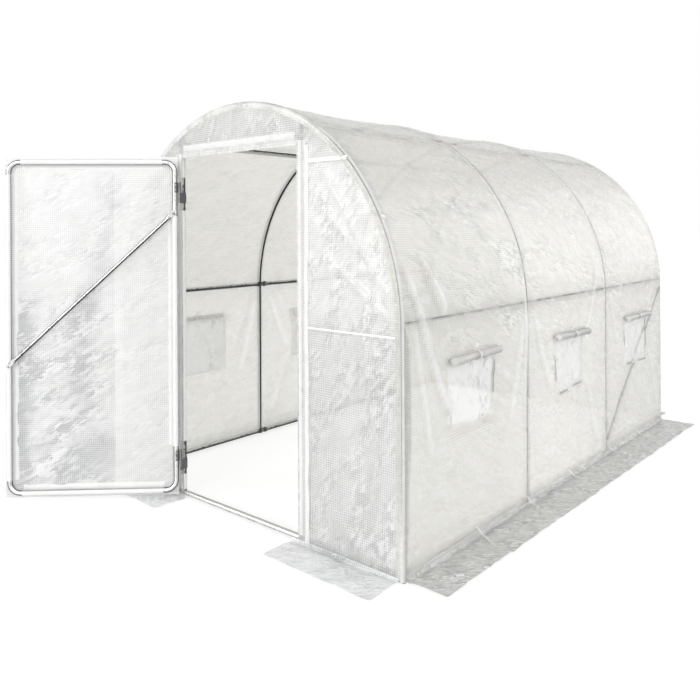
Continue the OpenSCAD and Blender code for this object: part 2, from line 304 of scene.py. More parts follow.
def inner_side(tree, spot):
    """1 where a face looks into the tunnel and 0 where it looks out, and the lean of the arch there."""
    place = add(tree, "ShaderNodeSeparateXYZ")
    feed(tree, place.inputs[0], spot["Object"])
    out = add(tree, "ShaderNodeCombineXYZ")
    feed(tree, out.inputs["X"], place.outputs["X"])
    over_leg = calc(tree, "SUBTRACT", place.outputs["Z"], leg_h)
    feed(tree, out.inputs["Z"], calc(tree, "MAXIMUM", over_leg, 0.0))
    away = add(tree, "ShaderNodeVectorMath", operation="NORMALIZE")
    feed(tree, away.inputs[0], out.outputs[0])
    looks = add(tree, "ShaderNodeVectorMath", operation="DOT_PRODUCT")
    feed(tree, looks.inputs[0], away.outputs[0])
    feed(tree, looks.inputs[1], spot["Normal"])
    inward = remap(tree, looks.outputs["Value"], 0.30, 0.60, 1.0, 0.0)
    return inward, remap(tree, place.outputs["Z"], *ARCH_LEAN)


def metal(name, dark, light, rough, edge=None, core=(0.16, 0.42), inside=False, lit=LIT_SIDE):
    """A zinc-coated metal with painted shade, pale on its lit side and dark on the other; edge is a painted
    reflection, the colour that it mirrors at a grazing angle.

    core says at which angles, as Layer Weight counts them, the edge colour begins and is full. With inside
    it shows only on the side that looks into the tunnel."""
    made, tree, shader = new_material(name, Metallic=1.0)
    spot = add(tree, "ShaderNodeTexCoord").outputs
    bloom = use_group(tree, zinc_bloom, Place=spot["Object"], Scale=55.0)
    lit_side = add(tree, "ShaderNodeVectorMath", operation="DOT_PRODUCT")
    feed(tree, lit_side.inputs[0], spot["Normal"])
    lit_side.inputs[1].default_value = lit
    # Painted shade and highlight: the colour goes from dark to light as a face turns to the lit side
    blotch = remap(tree, bloom["Bloom"], 0.0, 1.0, -0.2, 0.2)
    painted_shading = remap(tree, calc(tree, "ADD", lit_side.outputs["Value"], blotch), -0.35, 0.30)
    colour = tint(tree, painted_shading, (*dark, 1), (*light, 1))
    # Painted reflection: at grazing angles the flanks take the colour that they would mirror
    if edge is not None:
        weight = add(tree, "ShaderNodeLayerWeight")
        weight.inputs["Blend"].default_value = 0.5
        facing = weight.outputs["Facing"]
        if inside:
            inward, lean = inner_side(tree, spot)
            upright = calc(tree, "SUBTRACT", facing, lean)
            grazing = calc(tree, "MULTIPLY", remap(tree, upright, *core), inward)
        else:
            grazing = remap(tree, facing, *core)
        colour = tint(tree, grazing, colour, (*edge, 1))
        shader["Specular Tint"].default_value = (*edge, 1)
    feed(tree, shader["Base Color"], colour)
    feed(tree, shader["Roughness"], remap(tree, bloom["Bloom"], 0.0, 1.0, rough, rough + 0.16))
    bump = add(tree, "ShaderNodeBump")
    bump.inputs["Strength"].default_value = 0.12
    bump.inputs["Distance"].default_value = 0.0008
    feed(tree, bump.inputs["Height"], bloom["Height"])
    feed(tree, shader["Normal"], bump.outputs[0])
    return made


print("pale side:", LIT_SIDE)

# %% Metals on the CAD nodes
# Painted reflections on a tube's flanks: of a dark gap, and of the bright film
DARK_REFLECTION, FILM_REFLECTION = (0.07, 0.07, 0.07), (0.80, 0.80, 0.78)
zinc_tube = metal("zinc tube", (0.07, 0.07, 0.07), (0.62, 0.62, 0.61), 0.28)
leaf_zinc = metal("leaf zinc", (0.60, 0.60, 0.59), (0.92, 0.92, 0.91), 0.20, DARK_REFLECTION)
brace_steel = metal("leaf brace steel", (0.08, 0.08, 0.08), (0.80, 0.80, 0.79), 0.20, (0.08, 0.08, 0.08))
hinge_steel = metal("hinge steel", (0.13, 0.13, 0.135), (0.34, 0.34, 0.34), 0.34)
# Painted shade: these hoops are near black, with a painted reflection of the film on the flanks that look
# into the tunnel
shaded_tube = metal("shaded tube", (0.02, 0.02, 0.02), (0.07, 0.07, 0.07), 0.34, FILM_REFLECTION,
                    core=(0.06, 0.18), inside=True)
# The roof purlins are painted pale underneath, as a painted reflection of the white floor
purlin_zinc = metal("purlin zinc", (0.05, 0.05, 0.05), (0.48, 0.475, 0.46), 0.30, lit=LIT_BELOW)
bolt_zinc = metal("bolt zinc", (0.30, 0.30, 0.29), (0.62, 0.62, 0.60), 0.28)

FINISHES = {
    "door_brace": brace_steel, "door_hinge_eyes": hinge_steel, "post_hinge_pins": hinge_steel,
    "door_top_bow": leaf_zinc, "door_bottom_bow": leaf_zinc, "door_stiles": leaf_zinc,
    "left_roof_purlin": purlin_zinc, "right_roof_purlin": purlin_zinc,
}
for hoop in HOOPS[:3]:
    FINISHES[f"{hoop}_hoop_arch"] = shaded_tube
    FINISHES[f"{hoop}_hoop_legs"] = shaded_tube
for name, node in nodes.items():
    finish = FINISHES.get(name, zinc_tube)
    for place in node.material_slots:
        place.material = finish
print("metals on", len(nodes), "CAD nodes")

# %% [markdown]
# ## Film
# The cover is clear film with a white grid of yarn inside it. The yarn shows as a fine net of
# white lines, and between the lines one looks through a little haze. A group draws the grid
# along the piece's own UV map, in metres, so the yarn follows every fold. A second group adds
# the creases that handling leaves, and a painted glint that greys or whitens each crease facet.
# The share of light that gets through is raised to the number of layers, which each mesh
# carries as an attribute: a hem of three layers is whiter. Each mesh also carries painted
# light and shade as its tone.

# %% Yarn and creases
def weave_group():
    tree, given, gives = new_group(
        "yarn grid",
        [
            ("Place", "NodeSocketVector", None),
            ("Pitch", "NodeSocketFloat", 0.01),
            ("Yarn share", "NodeSocketFloat", 0.3),
        ],
        ("Yarn", "Height"),
    )
    split = add(tree, "ShaderNodeSeparateXYZ")
    feed(tree, split.inputs[0], given["Place"])
    edge = calc(tree, "SUBTRACT", 0.5, calc(tree, "MULTIPLY", given["Yarn share"], 0.5))
    lines = []
    for axis in ("X", "Y"):
        step = calc(tree, "FRACT", calc(tree, "DIVIDE", split.outputs[axis], given["Pitch"]))
        away = calc(tree, "ABSOLUTE", calc(tree, "SUBTRACT", step, 0.5))
        soft = calc(tree, "SUBTRACT", edge, 0.05), calc(tree, "ADD", edge, 0.05)
        lines.append(remap(tree, away, *soft))
    feed(tree, gives["Yarn"], calc(tree, "MAXIMUM", *lines))
    feed(tree, gives["Height"], calc(tree, "ADD", *lines))
    return tree


def crease_group():
    """Flat facets that each lean their own way, as in crumpled film, with a painted glint for each and a
    cloud of haze.
    """
    tree, given, gives = new_group(
        "film creases",
        [("Place", "NodeSocketVector", None), ("Scale", "NodeSocketFloat", 14.0)],
        ("Height", "Glint", "Haze"),
    )

    def vector(operation, first, second):
        made = add(tree, "ShaderNodeVectorMath", operation=operation)
        feed(tree, made.inputs[0], first)
        feed(tree, made.inputs[1], second)
        return made.outputs

    def cloud(scale, detail):
        made = add(tree, "ShaderNodeTexNoise")
        feed(tree, made.inputs["Vector"], given["Place"])
        feed(tree, made.inputs["Scale"], calc(tree, "MULTIPLY", given["Scale"], scale))
        made.inputs["Detail"].default_value = detail
        return made.outputs

    sway = vector("SUBTRACT", cloud(0.9, 2)["Color"], (0.5, 0.5, 0.5))[0]
    reach = add(tree, "ShaderNodeVectorMath", operation="SCALE")
    feed(tree, reach.inputs[0], sway)
    feed(tree, reach.inputs["Scale"], calc(tree, "DIVIDE", 0.9, given["Scale"]))
    swayed = vector("ADD", given["Place"], reach.outputs[0])[0]

    def facets(scale):
        """Height of the facets, and a painted glint: how much of the light from above each one would throw
        back.
        """
        cells = add(tree, "ShaderNodeTexVoronoi", voronoi_dimensions="2D")
        feed(tree, cells.inputs["Vector"], swayed)
        feed(tree, cells.inputs["Scale"], calc(tree, "MULTIPLY", given["Scale"], scale))
        lean = vector("SUBTRACT", cells.outputs["Color"], (0.5, 0.5, 0.5))[0]
        return cells.outputs["Distance"], vector("DOT_PRODUCT", lean, (-0.5, 0.85, 0.0))["Value"]

    patch = remap(tree, cloud(0.20, 2)["Fac"], 0.40, 0.62, 0.20, 1.0)
    (large, large_glint), (small, small_glint) = facets(1.1), facets(2.7)
    height = calc(tree, "MULTIPLY_ADD", small, 0.5, large)
    # Painted highlight and shade: each facet's glint, from its lean
    glint = calc(tree, "MULTIPLY_ADD", small_glint, 0.9, large_glint)
    feed(tree, gives["Height"], calc(tree, "MULTIPLY", height, patch))
    feed(tree, gives["Glint"], calc(tree, "MULTIPLY", remap(tree, glint, -0.60, 0.60, -1.0, 1.0), patch))
    feed(tree, gives["Haze"], cloud(0.35, 3)["Fac"])
    return tree


yarn_grid, film_creases = weave_group(), crease_group()
print("groups:", yarn_grid.name, "and", film_creases.name)

# %% Film material
# Painted shade grey and painted highlight white of the film, and the painted shade where a tube presses on it
SHADE_GREY, HIGHLIGHT_WHITE = (0.42, 0.432, 0.436), (0.965, 0.965, 0.96)
LINE_SHADE = -1.5


def film(name, clear, yarn, dull, white, pitch=0.010, share=0.32, rough=0.20, crease=14.0, bump_m=0.006,
         glow=0.34, stretch=(1.0, 1.2), slant=0.0, glint_strength=0.10):
    """Film whose clear cells and yarn have their own opacity; glow is the light that one layer lets through.

    A cell's grey is a painted reflection of the room, a glint that follows the lean of its facet; an argument
    sets how strongly and a mesh attribute adds to it. The mesh's tone is painted light and shade, from -1,
    grey, over 0 to 1, white. Facets are longer along the larger number of stretch, turned by slant. The
    mesh's line is 1 where a tube presses on the film, and there the film is painted dark as shade."""
    made, tree, shader = new_material(name)
    shader["Specular IOR Level"].default_value = 0.6
    weave_place = add(tree, "ShaderNodeUVMap", uv_map="weave").outputs[0]
    place = add(tree, "ShaderNodeMapping", vector_type="TEXTURE")
    feed(tree, place.inputs["Vector"], weave_place)
    place.inputs["Rotation"].default_value = (0, 0, math.radians(slant))
    place.inputs["Scale"].default_value = (*stretch, 1.0)
    grid = use_group(tree, yarn_grid, Place=weave_place, Pitch=pitch, Yarn_share=share)
    folds = use_group(tree, film_creases, Place=place.outputs[0], Scale=crease)
    layers, glint_boost, tone, line = (add(tree, "ShaderNodeAttribute", attribute_name=label).outputs["Fac"]
                                  for label in ("layers", "glint_boost", "tone", "line"))

    hazed = calc(tree, "ADD", clear, remap(tree, folds["Haze"], 0.35, 0.65, -0.08, 0.08))
    cell_gap = calc(tree, "SUBTRACT", 1.0, calc(tree, "MINIMUM", hazed, 0.985))
    cell_clear = calc(tree, "POWER", cell_gap, layers)
    yarn_clear = calc(tree, "POWER", 1.0 - yarn, calc(tree, "MAXIMUM", layers, 0.45))
    passing = remap(tree, grid["Yarn"], 0.0, 1.0, cell_clear, yarn_clear)
    seen = calc(tree, "SUBTRACT", 1.0, passing, clamp=True)

    # Painted light: each facet's glint, the mesh's tone, and painted shade where a tube presses on the film
    glint_depth = calc(tree, "ADD", glint_boost, glint_strength)
    off_line = calc(tree, "ABSOLUTE", calc(tree, "SUBTRACT", line, 1.0))
    pressed = remap(tree, off_line, 0.012, 0.018, LINE_SHADE, 0.0)
    light = calc(tree, "ADD", calc(tree, "MULTIPLY_ADD", folds["Glint"], glint_depth, tone), pressed)
    # Cells go from the painted shade grey over their own colour to the painted highlight white; the yarn
    # follows less
    shaded = tint(tree, remap(tree, light, -1.0, 0.0, kind="LINEAR"), (*SHADE_GREY, 1), (*dull, 1))
    cell = tint(tree, remap(tree, light, 0.0, 1.0, kind="LINEAR"), shaded, (*HIGHLIGHT_WHITE, 1))
    low = [0.65 * a + 0.35 * b for a, b in zip(dull, SHADE_GREY)]
    thread = tint(tree, remap(tree, light, -1.2, 0.4, kind="LINEAR"), (*low, 1), (*white, 1))
    thread = tint(tree, remap(tree, light, 0.4, 1.0, kind="LINEAR"), thread, (*HIGHLIGHT_WHITE, 1))
    colour = tint(tree, grid["Yarn"], cell, thread)
    feed(tree, shader["Base Color"], colour)
    feed(tree, shader["Roughness"], remap(tree, folds["Haze"], 0.3, 0.7, rough, rough + 0.14))
    weave_bump = add(tree, "ShaderNodeBump")
    weave_bump.inputs["Strength"].default_value = 0.2
    weave_bump.inputs["Distance"].default_value = 0.0005
    feed(tree, weave_bump.inputs["Height"], grid["Height"])
    fold_bump = add(tree, "ShaderNodeBump")
    fold_bump.inputs["Strength"].default_value = 0.8
    fold_bump.inputs["Distance"].default_value = bump_m
    feed(tree, fold_bump.inputs["Height"], folds["Height"])
    feed(tree, fold_bump.inputs["Normal"], weave_bump.outputs[0])
    feed(tree, shader["Normal"], fold_bump.outputs[0])
    passed = add(tree, "ShaderNodeBsdfTranslucent")
    feed(tree, passed.inputs["Color"], colour)
    feed(tree, passed.inputs["Normal"], fold_bump.outputs[0])
    both = add(tree, "ShaderNodeMixShader")
    feed(tree, both.inputs[0], calc(tree, "DIVIDE", glow, calc(tree, "MAXIMUM", layers, 1.0)))
    feed(tree, both.inputs[1], tree.nodes["Principled BSDF"].outputs[0])
    feed(tree, both.inputs[2], passed.outputs[0])
    whole = add(tree, "ShaderNodeMixShader")
    feed(tree, whole.inputs[0], seen)
    feed(tree, whole.inputs[1], add(tree, "ShaderNodeBsdfTransparent").outputs[0])
    feed(tree, whole.inputs[2], both.outputs[0])
    feed(tree, tree.nodes["Material Output"].inputs["Surface"], whole.outputs[0])
    return made


print("film from", SHADE_GREY, "to", HIGHLIGHT_WHITE)

# %% Films, net and tapes
cover_film = film("cover film", 0.85, 0.95, (0.79, 0.784, 0.745), (0.905, 0.898, 0.857), crease=36.0,
                  bump_m=0.0035, stretch=(1.0, 2.2), slant=20, glint_strength=0.16, glow=0.45)
gable_film = film("gable film", 0.78, 0.95, (0.77, 0.769, 0.762), (0.92, 0.919, 0.912), crease=50.0,
                  bump_m=0.004, stretch=(1.0, 2.4), slant=-35, glint_strength=0.42)
leaf_film = film("leaf film", 0.84, 0.95, (0.83, 0.831, 0.828), (0.95, 0.950, 0.947), crease=46.0,
                 bump_m=0.004, stretch=(3.0, 1.0), slant=-26, glint_strength=0.36)
# The side and rear skirts' film is greyer than the cover, partly as painted shade
skirt_film = film("skirt film", 0.80, 0.95, (0.53, 0.526, 0.508), (0.72, 0.716, 0.698), crease=95.0,
                  bump_m=0.006, stretch=(2.6, 1.0), slant=50, glint_strength=1.10, glow=0.10)
front_skirt_film = film("front skirt film", 0.78, 0.95, (0.93, 0.937, 0.947), (0.95, 0.955, 0.96),
                        crease=70.0, bump_m=0.005, stretch=(1.8, 1.0), slant=-40, glint_strength=0.32, glow=0.10)
band_film = film("band film", 0.84, 0.97, (0.95, 0.95, 0.945), (0.97, 0.97, 0.965), rough=0.30, glow=0.25)
# The rolled film is greyer than the cover, partly for its many layers and partly as painted shade
roll_film = film("rolled film", 0.95, 0.98, (0.68, 0.674, 0.652), (0.74, 0.734, 0.712), crease=26.0,
                 bump_m=0.003, stretch=(2.8, 1.0), glint_strength=0.18, rough=0.36, glow=0.25)
net_mesh = film("insect net", 0.72, 0.84, (0.955, 0.955, 0.940), (0.965, 0.965, 0.950), pitch=0.0012,
                share=0.34, rough=0.22, crease=30.0, bump_m=0.004, stretch=(1.0, 1.5), glint_strength=0.30, glow=0.20)
tape_film = film("tie tape", 0.90, 0.98, (0.90, 0.90, 0.89), (0.95, 0.95, 0.94), pitch=0.003,
                 rough=0.5, bump_m=0.002)
binding = film("window binding", 0.97, 0.98, (0.90, 0.90, 0.89), (0.95, 0.95, 0.94), pitch=0.003,
               share=0.06, rough=0.4, bump_m=0.002)
FILMS = (cover_film, gable_film, leaf_film, skirt_film, front_skirt_film,
         band_film, roll_film, net_mesh, tape_film, binding)
print("films:", [m.name for m in FILMS])

# %% [markdown]
# ## Helpers for sheets
# A sheet is a grid of points, so it is easiest to compute all its points at once with numpy
# and let Blender make the faces. Each sheet stores where its yarn runs (a UV map in metres)
# and how many layers lie there. A smooth seeded noise makes wrinkles that are the same on
# every run, and a fold is a soft ridge along a line.

# %% Sheet, noise and fold helpers
def sheet_piece(name, points, weave, layers, material, keep=None, flip=False, glint_boost=0.0, tone=0.0, line=0.0):
    """A mesh object from a grid of points (rows, columns, 3).

    weave is where its yarn runs and layers how many lie there; then come painted light: the strength of its
    painted glints, tone its grey, which is mostly painted light and shade, and line where a tube presses on
    it, painted as shade.
    keep says which cells have a face."""
    rows, columns = points.shape[:2]
    index = np.arange(rows * columns).reshape(rows, columns)
    quads = np.stack([index[:-1, :-1], index[:-1, 1:], index[1:, 1:], index[1:, :-1]], -1)
    quads = quads.reshape(-1, 4) if keep is None else quads[keep]
    if flip:
        quads = quads[:, ::-1]
    used, faces = np.unique(quads, return_inverse=True)
    mesh = bpy.data.meshes.new(name)
    mesh.from_pydata(points.reshape(-1, 3)[used].tolist(), [], faces.reshape(-1, 4).tolist())
    corner = np.empty(len(mesh.loops), dtype=np.int32)
    mesh.loops.foreach_get("vertex_index", corner)
    places = weave.reshape(-1, 2)[used][corner]
    mesh.uv_layers.new(name="weave").data.foreach_set("uv", places.astype(np.float32).ravel())
    for label, amount in (("layers", layers), ("glint_boost", glint_boost), ("tone", tone), ("line", line)):
        amount = np.broadcast_to(amount, (rows, columns)).reshape(-1)[used]
        mesh.attributes.new(label, "FLOAT", "POINT").data.foreach_set("value", amount.astype(np.float32))
    mesh.polygons.foreach_set("use_smooth", np.ones(len(mesh.polygons), dtype=bool))
    mesh.materials.append(material)
    piece = bpy.data.objects.new(name, mesh)
    scene.collection.objects.link(piece)
    print(f"{name}: {len(mesh.polygons)} faces")
    return piece


def spaced(low, high, step, marks=()):
    """Even lines from low to high, moved so that every mark has a line of its own."""
    stops = sorted({low, high, *[m for m in marks if low < m < high]})
    lines = [low]
    for a, b in zip(stops, stops[1:]):
        lines.extend(np.linspace(a, b, max(1, round((b - a) / step)) + 1)[1:])
    return np.array(lines)


NOISE_CELLS = 128


def soft_noise(u, v, seed):
    """Smooth noise from -1 to 1 over two coordinates."""
    table = np.random.default_rng(seed).uniform(-1, 1, (NOISE_CELLS, NOISE_CELLS))
    iu, iv = np.floor(u).astype(int), np.floor(v).astype(int)
    fu, fv = u - iu, v - iv
    fu, fv = fu * fu * (3 - 2 * fu), fv * fv * (3 - 2 * fv)

    def corner(a, b):
        return table[(iu + a) % NOISE_CELLS, (iv + b) % NOISE_CELLS]

    near = corner(0, 0) * (1 - fu) + corner(1, 0) * fu
    far = corner(0, 1) * (1 - fu) + corner(1, 1) * fu
    return near * (1 - fv) + far * fv


def crumple(u, v, seed):
    """Sharp creased noise from 0 to 1: ridges where the smooth noise crosses zero."""
    large = 1 - np.abs(soft_noise(u, v, seed))
    small = 1 - np.abs(soft_noise(2.3 * u + 7.1, 2.3 * v + 3.7, seed + 1))
    return large ** 2 * 0.65 + small ** 2 * 0.35


def fold(u, v, start, end, width, height):
    """A soft ridge along the line from start to end, fading at both ends."""
    du, dv = end[0] - start[0], end[1] - start[1]
    long = math.hypot(du, dv)
    along = ((u - start[0]) * du + (v - start[1]) * dv) / long ** 2
    aside = ((u - start[0]) * dv - (v - start[1]) * du) / long
    fade = np.clip(4 * np.minimum(along, 1 - along) + 0.35, 0, 1)
    return height * np.exp(-((aside / width) ** 2)) * fade ** 2 * (3 - 2 * fade)


def tunnel_sheet(piece, stands_for=(), body="tunnel"):
    """Rides a sheet on its body and hides the CAD parts that it stands for."""
    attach(piece, body)
    if stands_for:
        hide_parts(*stands_for)


print("sheet helpers ready")

# %% [markdown]
# ## The cover
# One sheet runs from the right foot over the crown to the left foot. It is pulled over the
# hoops, so between them it falls in a little, most at the crown, and beside a hoop it bends
# down over the tube. At both ends it turns round the hoop and lies on the gable as a hem.
# Six windows are cut out; handling has pulled their corners out of square.

# %% Cover: window openings
WINDOW_W, WINDOW_H, WINDOW_Z = 0.40, 0.30, 0.50
foot = 0.003
wall_l = leg_h - foot
around = 2 * wall_l + math.pi * film_r
window_y = [y + bay / 2 for y in hoop_y[:3]]
WINDOW_MID = WINDOW_Z + WINDOW_H / 2
SIDES = ((1, "right"), (-1, "left"))

# How far each opening's corners are pulled, along y and up: lower front, lower rear, upper front, upper rear
PULLED = [
    ((0.028, 0.045), (-0.030, 0.032), (-0.005, 0.0), (-0.012, -0.005)),
    ((0.045, -0.004), (-0.055, 0.018), (0.0, 0.0), (-0.040, -0.008)),
    ((0.030, 0.002), (0.012, -0.003), (0.006, 0.0), (0.010, -0.008)),
]


def wall_s(z, side):
    """Place along the section at the height z of the right wall (side 1) or of the left one (-1)."""
    return z - foot if side > 0 else around - z + foot


def turned_y(y):
    """The place along the tunnel that y has once the tunnel is turned round."""
    return hoop_y[0] + hoop_y[3] - y


def window_pull(y, z, window, seed):
    """How far the film near one opening is moved along y and up, and how far its lower lip stands out."""
    p = (y - window_y[window]) / (WINDOW_W / 2)
    q = (z - WINDOW_Z - WINDOW_H / 2) / (WINDOW_H / 2)
    off_y = np.maximum(np.abs(p) - 1, 0) * WINDOW_W / 2
    off_z = np.maximum(np.abs(q) - 1, 0) * WINDOW_H / 2
    near = np.exp(-(off_y ** 2 + off_z ** 2) / 0.08 ** 2)
    p, q = np.clip(p, -1, 1), np.clip(q, -1, 1)
    shares = [(1 + k * p) * (1 + m * q) / 4 for m in (-1, 1) for k in (-1, 1)]
    pulled = [sum(s * c[axis] for s, c in zip(shares, PULLED[window])) for axis in (0, 1)]
    edge = np.exp(-(off_y ** 2 + off_z ** 2) / 0.03 ** 2)
    move_y = near * pulled[0] + edge * 0.007 * soft_noise(z / 0.07, y / 0.3, seed)
    move_z = near * pulled[1] + edge * 0.006 * soft_noise(y / 0.09, z / 0.3, seed + 1)
    lip = np.exp(-((np.maximum(WINDOW_Z - z, 0) + 2 * off_y) / 0.03) ** 2) * (z < WINDOW_Z + 0.01)
    return move_y, move_z, 0.006 * lip


print("windows at", [round(y, 3) for y in window_y])

# %% Cover: how far it stands in or out
# Folds of the right wall, as lines in (y, z) with their width and height
WALL_FOLDS = [
    ((-1.29, 1.24), (-1.00, 0.55), 0.020, 0.010),
    ((-1.16, 1.28), (-1.02, 1.05), 0.018, 0.009),
    ((-1.25, 0.98), (-1.13, 0.42), 0.016, 0.006),
    ((-1.13, 1.19), (-1.03, 1.02), 0.018, 0.007),
    ((-0.59, 0.735), (-0.44, 0.635), 0.010, 0.006),
    ((-0.31, 1.02), (-0.26, 0.25), 0.014, 0.005),
    ((-0.33, 0.92), (-0.46, 0.45), 0.022, 0.005),
    ((-0.20, 0.95), (-0.05, 0.55), 0.016, 0.006),
    ((0.62, 1.15), (0.44, 0.72), 0.018, 0.006),
    ((0.45, 0.55), (0.60, 0.12), 0.018, 0.005),
    ((0.80, 0.98), (0.95, 0.60), 0.014, 0.006),
    ((1.60, 1.08), (1.46, 0.78), 0.015, 0.007),
    ((1.52, 0.55), (1.70, 0.10), 0.018, 0.006),
]
# Spots on the right wall and roof where the painted glints are strongest, as (y, height along the section)
GLINT_SPOTS = [(-0.86, 1.02), (-0.46, 0.95), (-0.40, 1.18), (-0.10, 1.25),
           (0.35, 1.30), (1.05, 1.30), (-1.05, 1.35), (0.0, 0.62)]


def cover_lift(s, y):
    """Distance outwards from the smooth cover at s along the section and y along the tunnel."""
    step = np.clip((y - hoop_y[0]) / bay, 0, 2.9999)
    share = step - np.floor(step)
    to_hoop = np.minimum(share, 1 - share) * bay
    belly = 4 * share * (1 - share)
    theta = np.clip((s - wall_l) / film_r, 0, math.pi)
    arch = np.sin(theta)
    height = np.where(theta <= 0, s, np.where(theta >= math.pi, around - s, wall_l)) / wall_l
    wall = np.clip(1 - 3 * arch, 0, 1)
    free = 1 - np.exp(-((to_hoop / 0.035) ** 2))
    lift = -belly * (0.011 * arch + 0.003 * wall * np.sin(math.pi * np.clip(height, 0, 1)))
    lift -= 0.0040 * (1 - np.exp(-((to_hoop / 0.013) ** 2)))
    lift += free * arch * 0.0036 * soft_noise(s / 0.085, y / 0.50, 11)
    bent_s = s / 0.16 + 0.25 * soft_noise(s / 0.5, y / 0.3, 5)
    lift += free * arch * 0.0040 * (crumple(bent_s, y / 0.60, 12) - 0.5)
    bent_y = y / 0.085 + 0.8 * soft_noise(s / 0.4, y / 0.5, 8)
    lift += free * wall * 0.0042 * soft_noise(s / 0.60, bent_y, 13)
    lift += free * 0.0046 * (crumple(s / 0.13, y / 0.15, 14) - 0.5)
    lift += free * 0.0011 * soft_noise(s / 0.040, y / 0.040, 15)
    right, left = s + foot, around - s + foot
    for start, end, width, rise in WALL_FOLDS:
        lift += fold(y, right, start, end, width, 1.7 * rise) * (s < around / 2)
        lift += fold(turned_y(y), left, start, end, width, 1.7 * rise) * (s > around / 2)
    return lift


print("wall folds:", len(WALL_FOLDS))

# %% Cover: where it is clear, grey or white
# Beside a middle hoop: pressed on the tube the film looks clear, and next to it a painted highlight lies
# along the bend
BESIDE = np.array([-0.030, -0.020, -0.013, -0.009, -0.005, 0.005, 0.009, 0.014, 0.024])
BESIDE_LAYERS = np.array([1.0, 1.5, 2.0, 1.6, 0.10, 0.08, 0.8, 1.2, 1.0])
BESIDE_TONE = np.array([0.0, 0.3, 1.0, 0.9, 0.0, 0.0, 0.2, 0.3, 0.0])
PRESSED = np.array([-0.013, -0.006, -0.002, 0.004, 0.010])
# Degrees over the springing at which the purlins lie, and heights of the base rails and the braces' bolts
PURLIN_DEGREES = (1, 60, 120, 179)
BASE_RAIL_Z = 0.022
BRACE_LOW, BRACE_HIGH = (hoop_y[2], 0.076), (hoop_y[3], 0.963)
purlin_s = [wall_l + film_r * math.radians(degrees) for degrees in PURLIN_DEGREES]


def brace_line(s, y):
    """1 on the slanting brace of the rear bay, where the film is painted dark as shade; each 0.01 away from 1
    is a centimetre beside it.
    """
    run, rise = BRACE_HIGH[0] - BRACE_LOW[0], BRACE_HIGH[1] - BRACE_LOW[1]
    up = np.minimum(s, around - s) + foot - BRACE_LOW[1]
    off = ((y - BRACE_LOW[0]) * rise - up * run) / math.hypot(run, rise)
    return np.where((up > 0) & (up < rise), 1 + np.clip(off, -0.1, 0.1), 0.9)


def cover_layers(s, y):
    """How many layers of film the cover looks like, from where it touches the tubes behind it."""
    patchy = np.clip(0.6 + 0.7 * soft_noise(s / 0.05, y / 0.05, 31), 0, 1)
    hold = np.clip(0.75 + 0.9 * soft_noise(s / 0.11, y / 0.5, 32), 0.25, 1)
    count = np.ones_like(s)
    for hoop in hoop_y[1:3]:
        count += (np.interp(y - hoop, BESIDE, BESIDE_LAYERS) - 1) * hold
    for end in (hoop_y[0], hoop_y[3]):
        count += 0.6 * np.exp(-(((y - end) / 0.012) ** 2))
    touch = np.zeros_like(s)
    for line in purlin_s + [wall_s(BASE_RAIL_Z, side) for side, _ in SIDES]:
        touch = np.maximum(touch, np.interp(s - line, PRESSED, [0, 0.5, 0.9, 0.9, 0]))
    return np.clip(count - touch * patchy, 0.10, 2)


def cover_tone(s, y):
    """Painted light and shade: paler towards the rear and low on the walls, white beside the hoops and on the
    folds, grey beside the folds and along the front legs.
    """
    height = np.minimum(s, around - s) + foot
    tone = np.interp(y, hoop_y, [-0.10, 0.0, 0.13, 0.24])
    tone = tone + np.interp(height, [0.9, 1.05], [0.32, 0.0])
    # Painted highlight along each fold's ridge, and painted shade beside it
    for start, end, width, rise in WALL_FOLDS:
        for place, on in ((s + foot, s < around / 2), (around - s + foot, s > around / 2)):
            ridge = np.clip(2.0 * fold(y, place, start, end, width, 1.0) - 0.5, 0, 1)
            painted_shading = fold(y + 1.6 * width, place, start, end, width, 35 * rise)
            tone = tone + (120 * rise * ridge - painted_shading) * on
    for hoop in hoop_y[1:3]:
        tone = tone + np.interp(y - hoop, BESIDE, BESIDE_TONE)
    # Painted shade: tight beside the front legs, the film's cells are dark in a strip that narrows to the
    # foot
    reach = np.interp(height, [0.0, 0.25, 0.60, 0.92, 1.02], [0.016, 0.032, 0.055, 0.045, 0.0])
    strip = np.clip((reach - (y - hoop_y[0])) / 0.012, 0, 1) * (reach > 0)
    return tone - np.interp(height, [0.1, 0.4], [0.7, 1.1]) * strip


print("purlins at", [round(s, 3) for s in purlin_s], "m along the section")

# %% Cover: its places
def section(s, rho):
    """x and z at s along the section, at the distance rho from the middle."""
    theta = np.clip((s - wall_l) / film_r, 0, math.pi)
    below = np.minimum(np.minimum(s - wall_l, around - wall_l - s), 0)
    return rho * np.cos(theta), leg_h + rho * np.sin(theta) + below


def window_side(s):
    """Which wall a place is on: 1 right, -1 left, and its height."""
    return np.where(s < around / 2, 1, -1), np.where(s < around / 2, s, around - s) + foot


def cover_place(s, y):
    """Points of the cover at s and y, with its folds and the pull of the openings."""
    side, height = window_side(s)
    lift = cover_lift(s, y)
    move_y, move_z = np.zeros_like(s), np.zeros_like(s)
    for window in range(3):
        for wall in (1, -1):
            y_here = y if wall == 1 else turned_y(y)
            pull_y, pull_z, lip = window_pull(y_here, height, window, 40 + 5 * window + wall)
            on = (side == wall) * (height < leg_h)
            move_y = move_y + on * pull_y * wall
            move_z = move_z + on * pull_z
            lift = lift + on * lip
    x, z = section(s, film_r + lift)
    return np.stack([x, y + move_y, z + move_z], -1)


print("section:", round(around, 3), "m from foot to foot")

# %% Cover: the sheet
HEM_W = 0.022
turn_r = tube_r + air
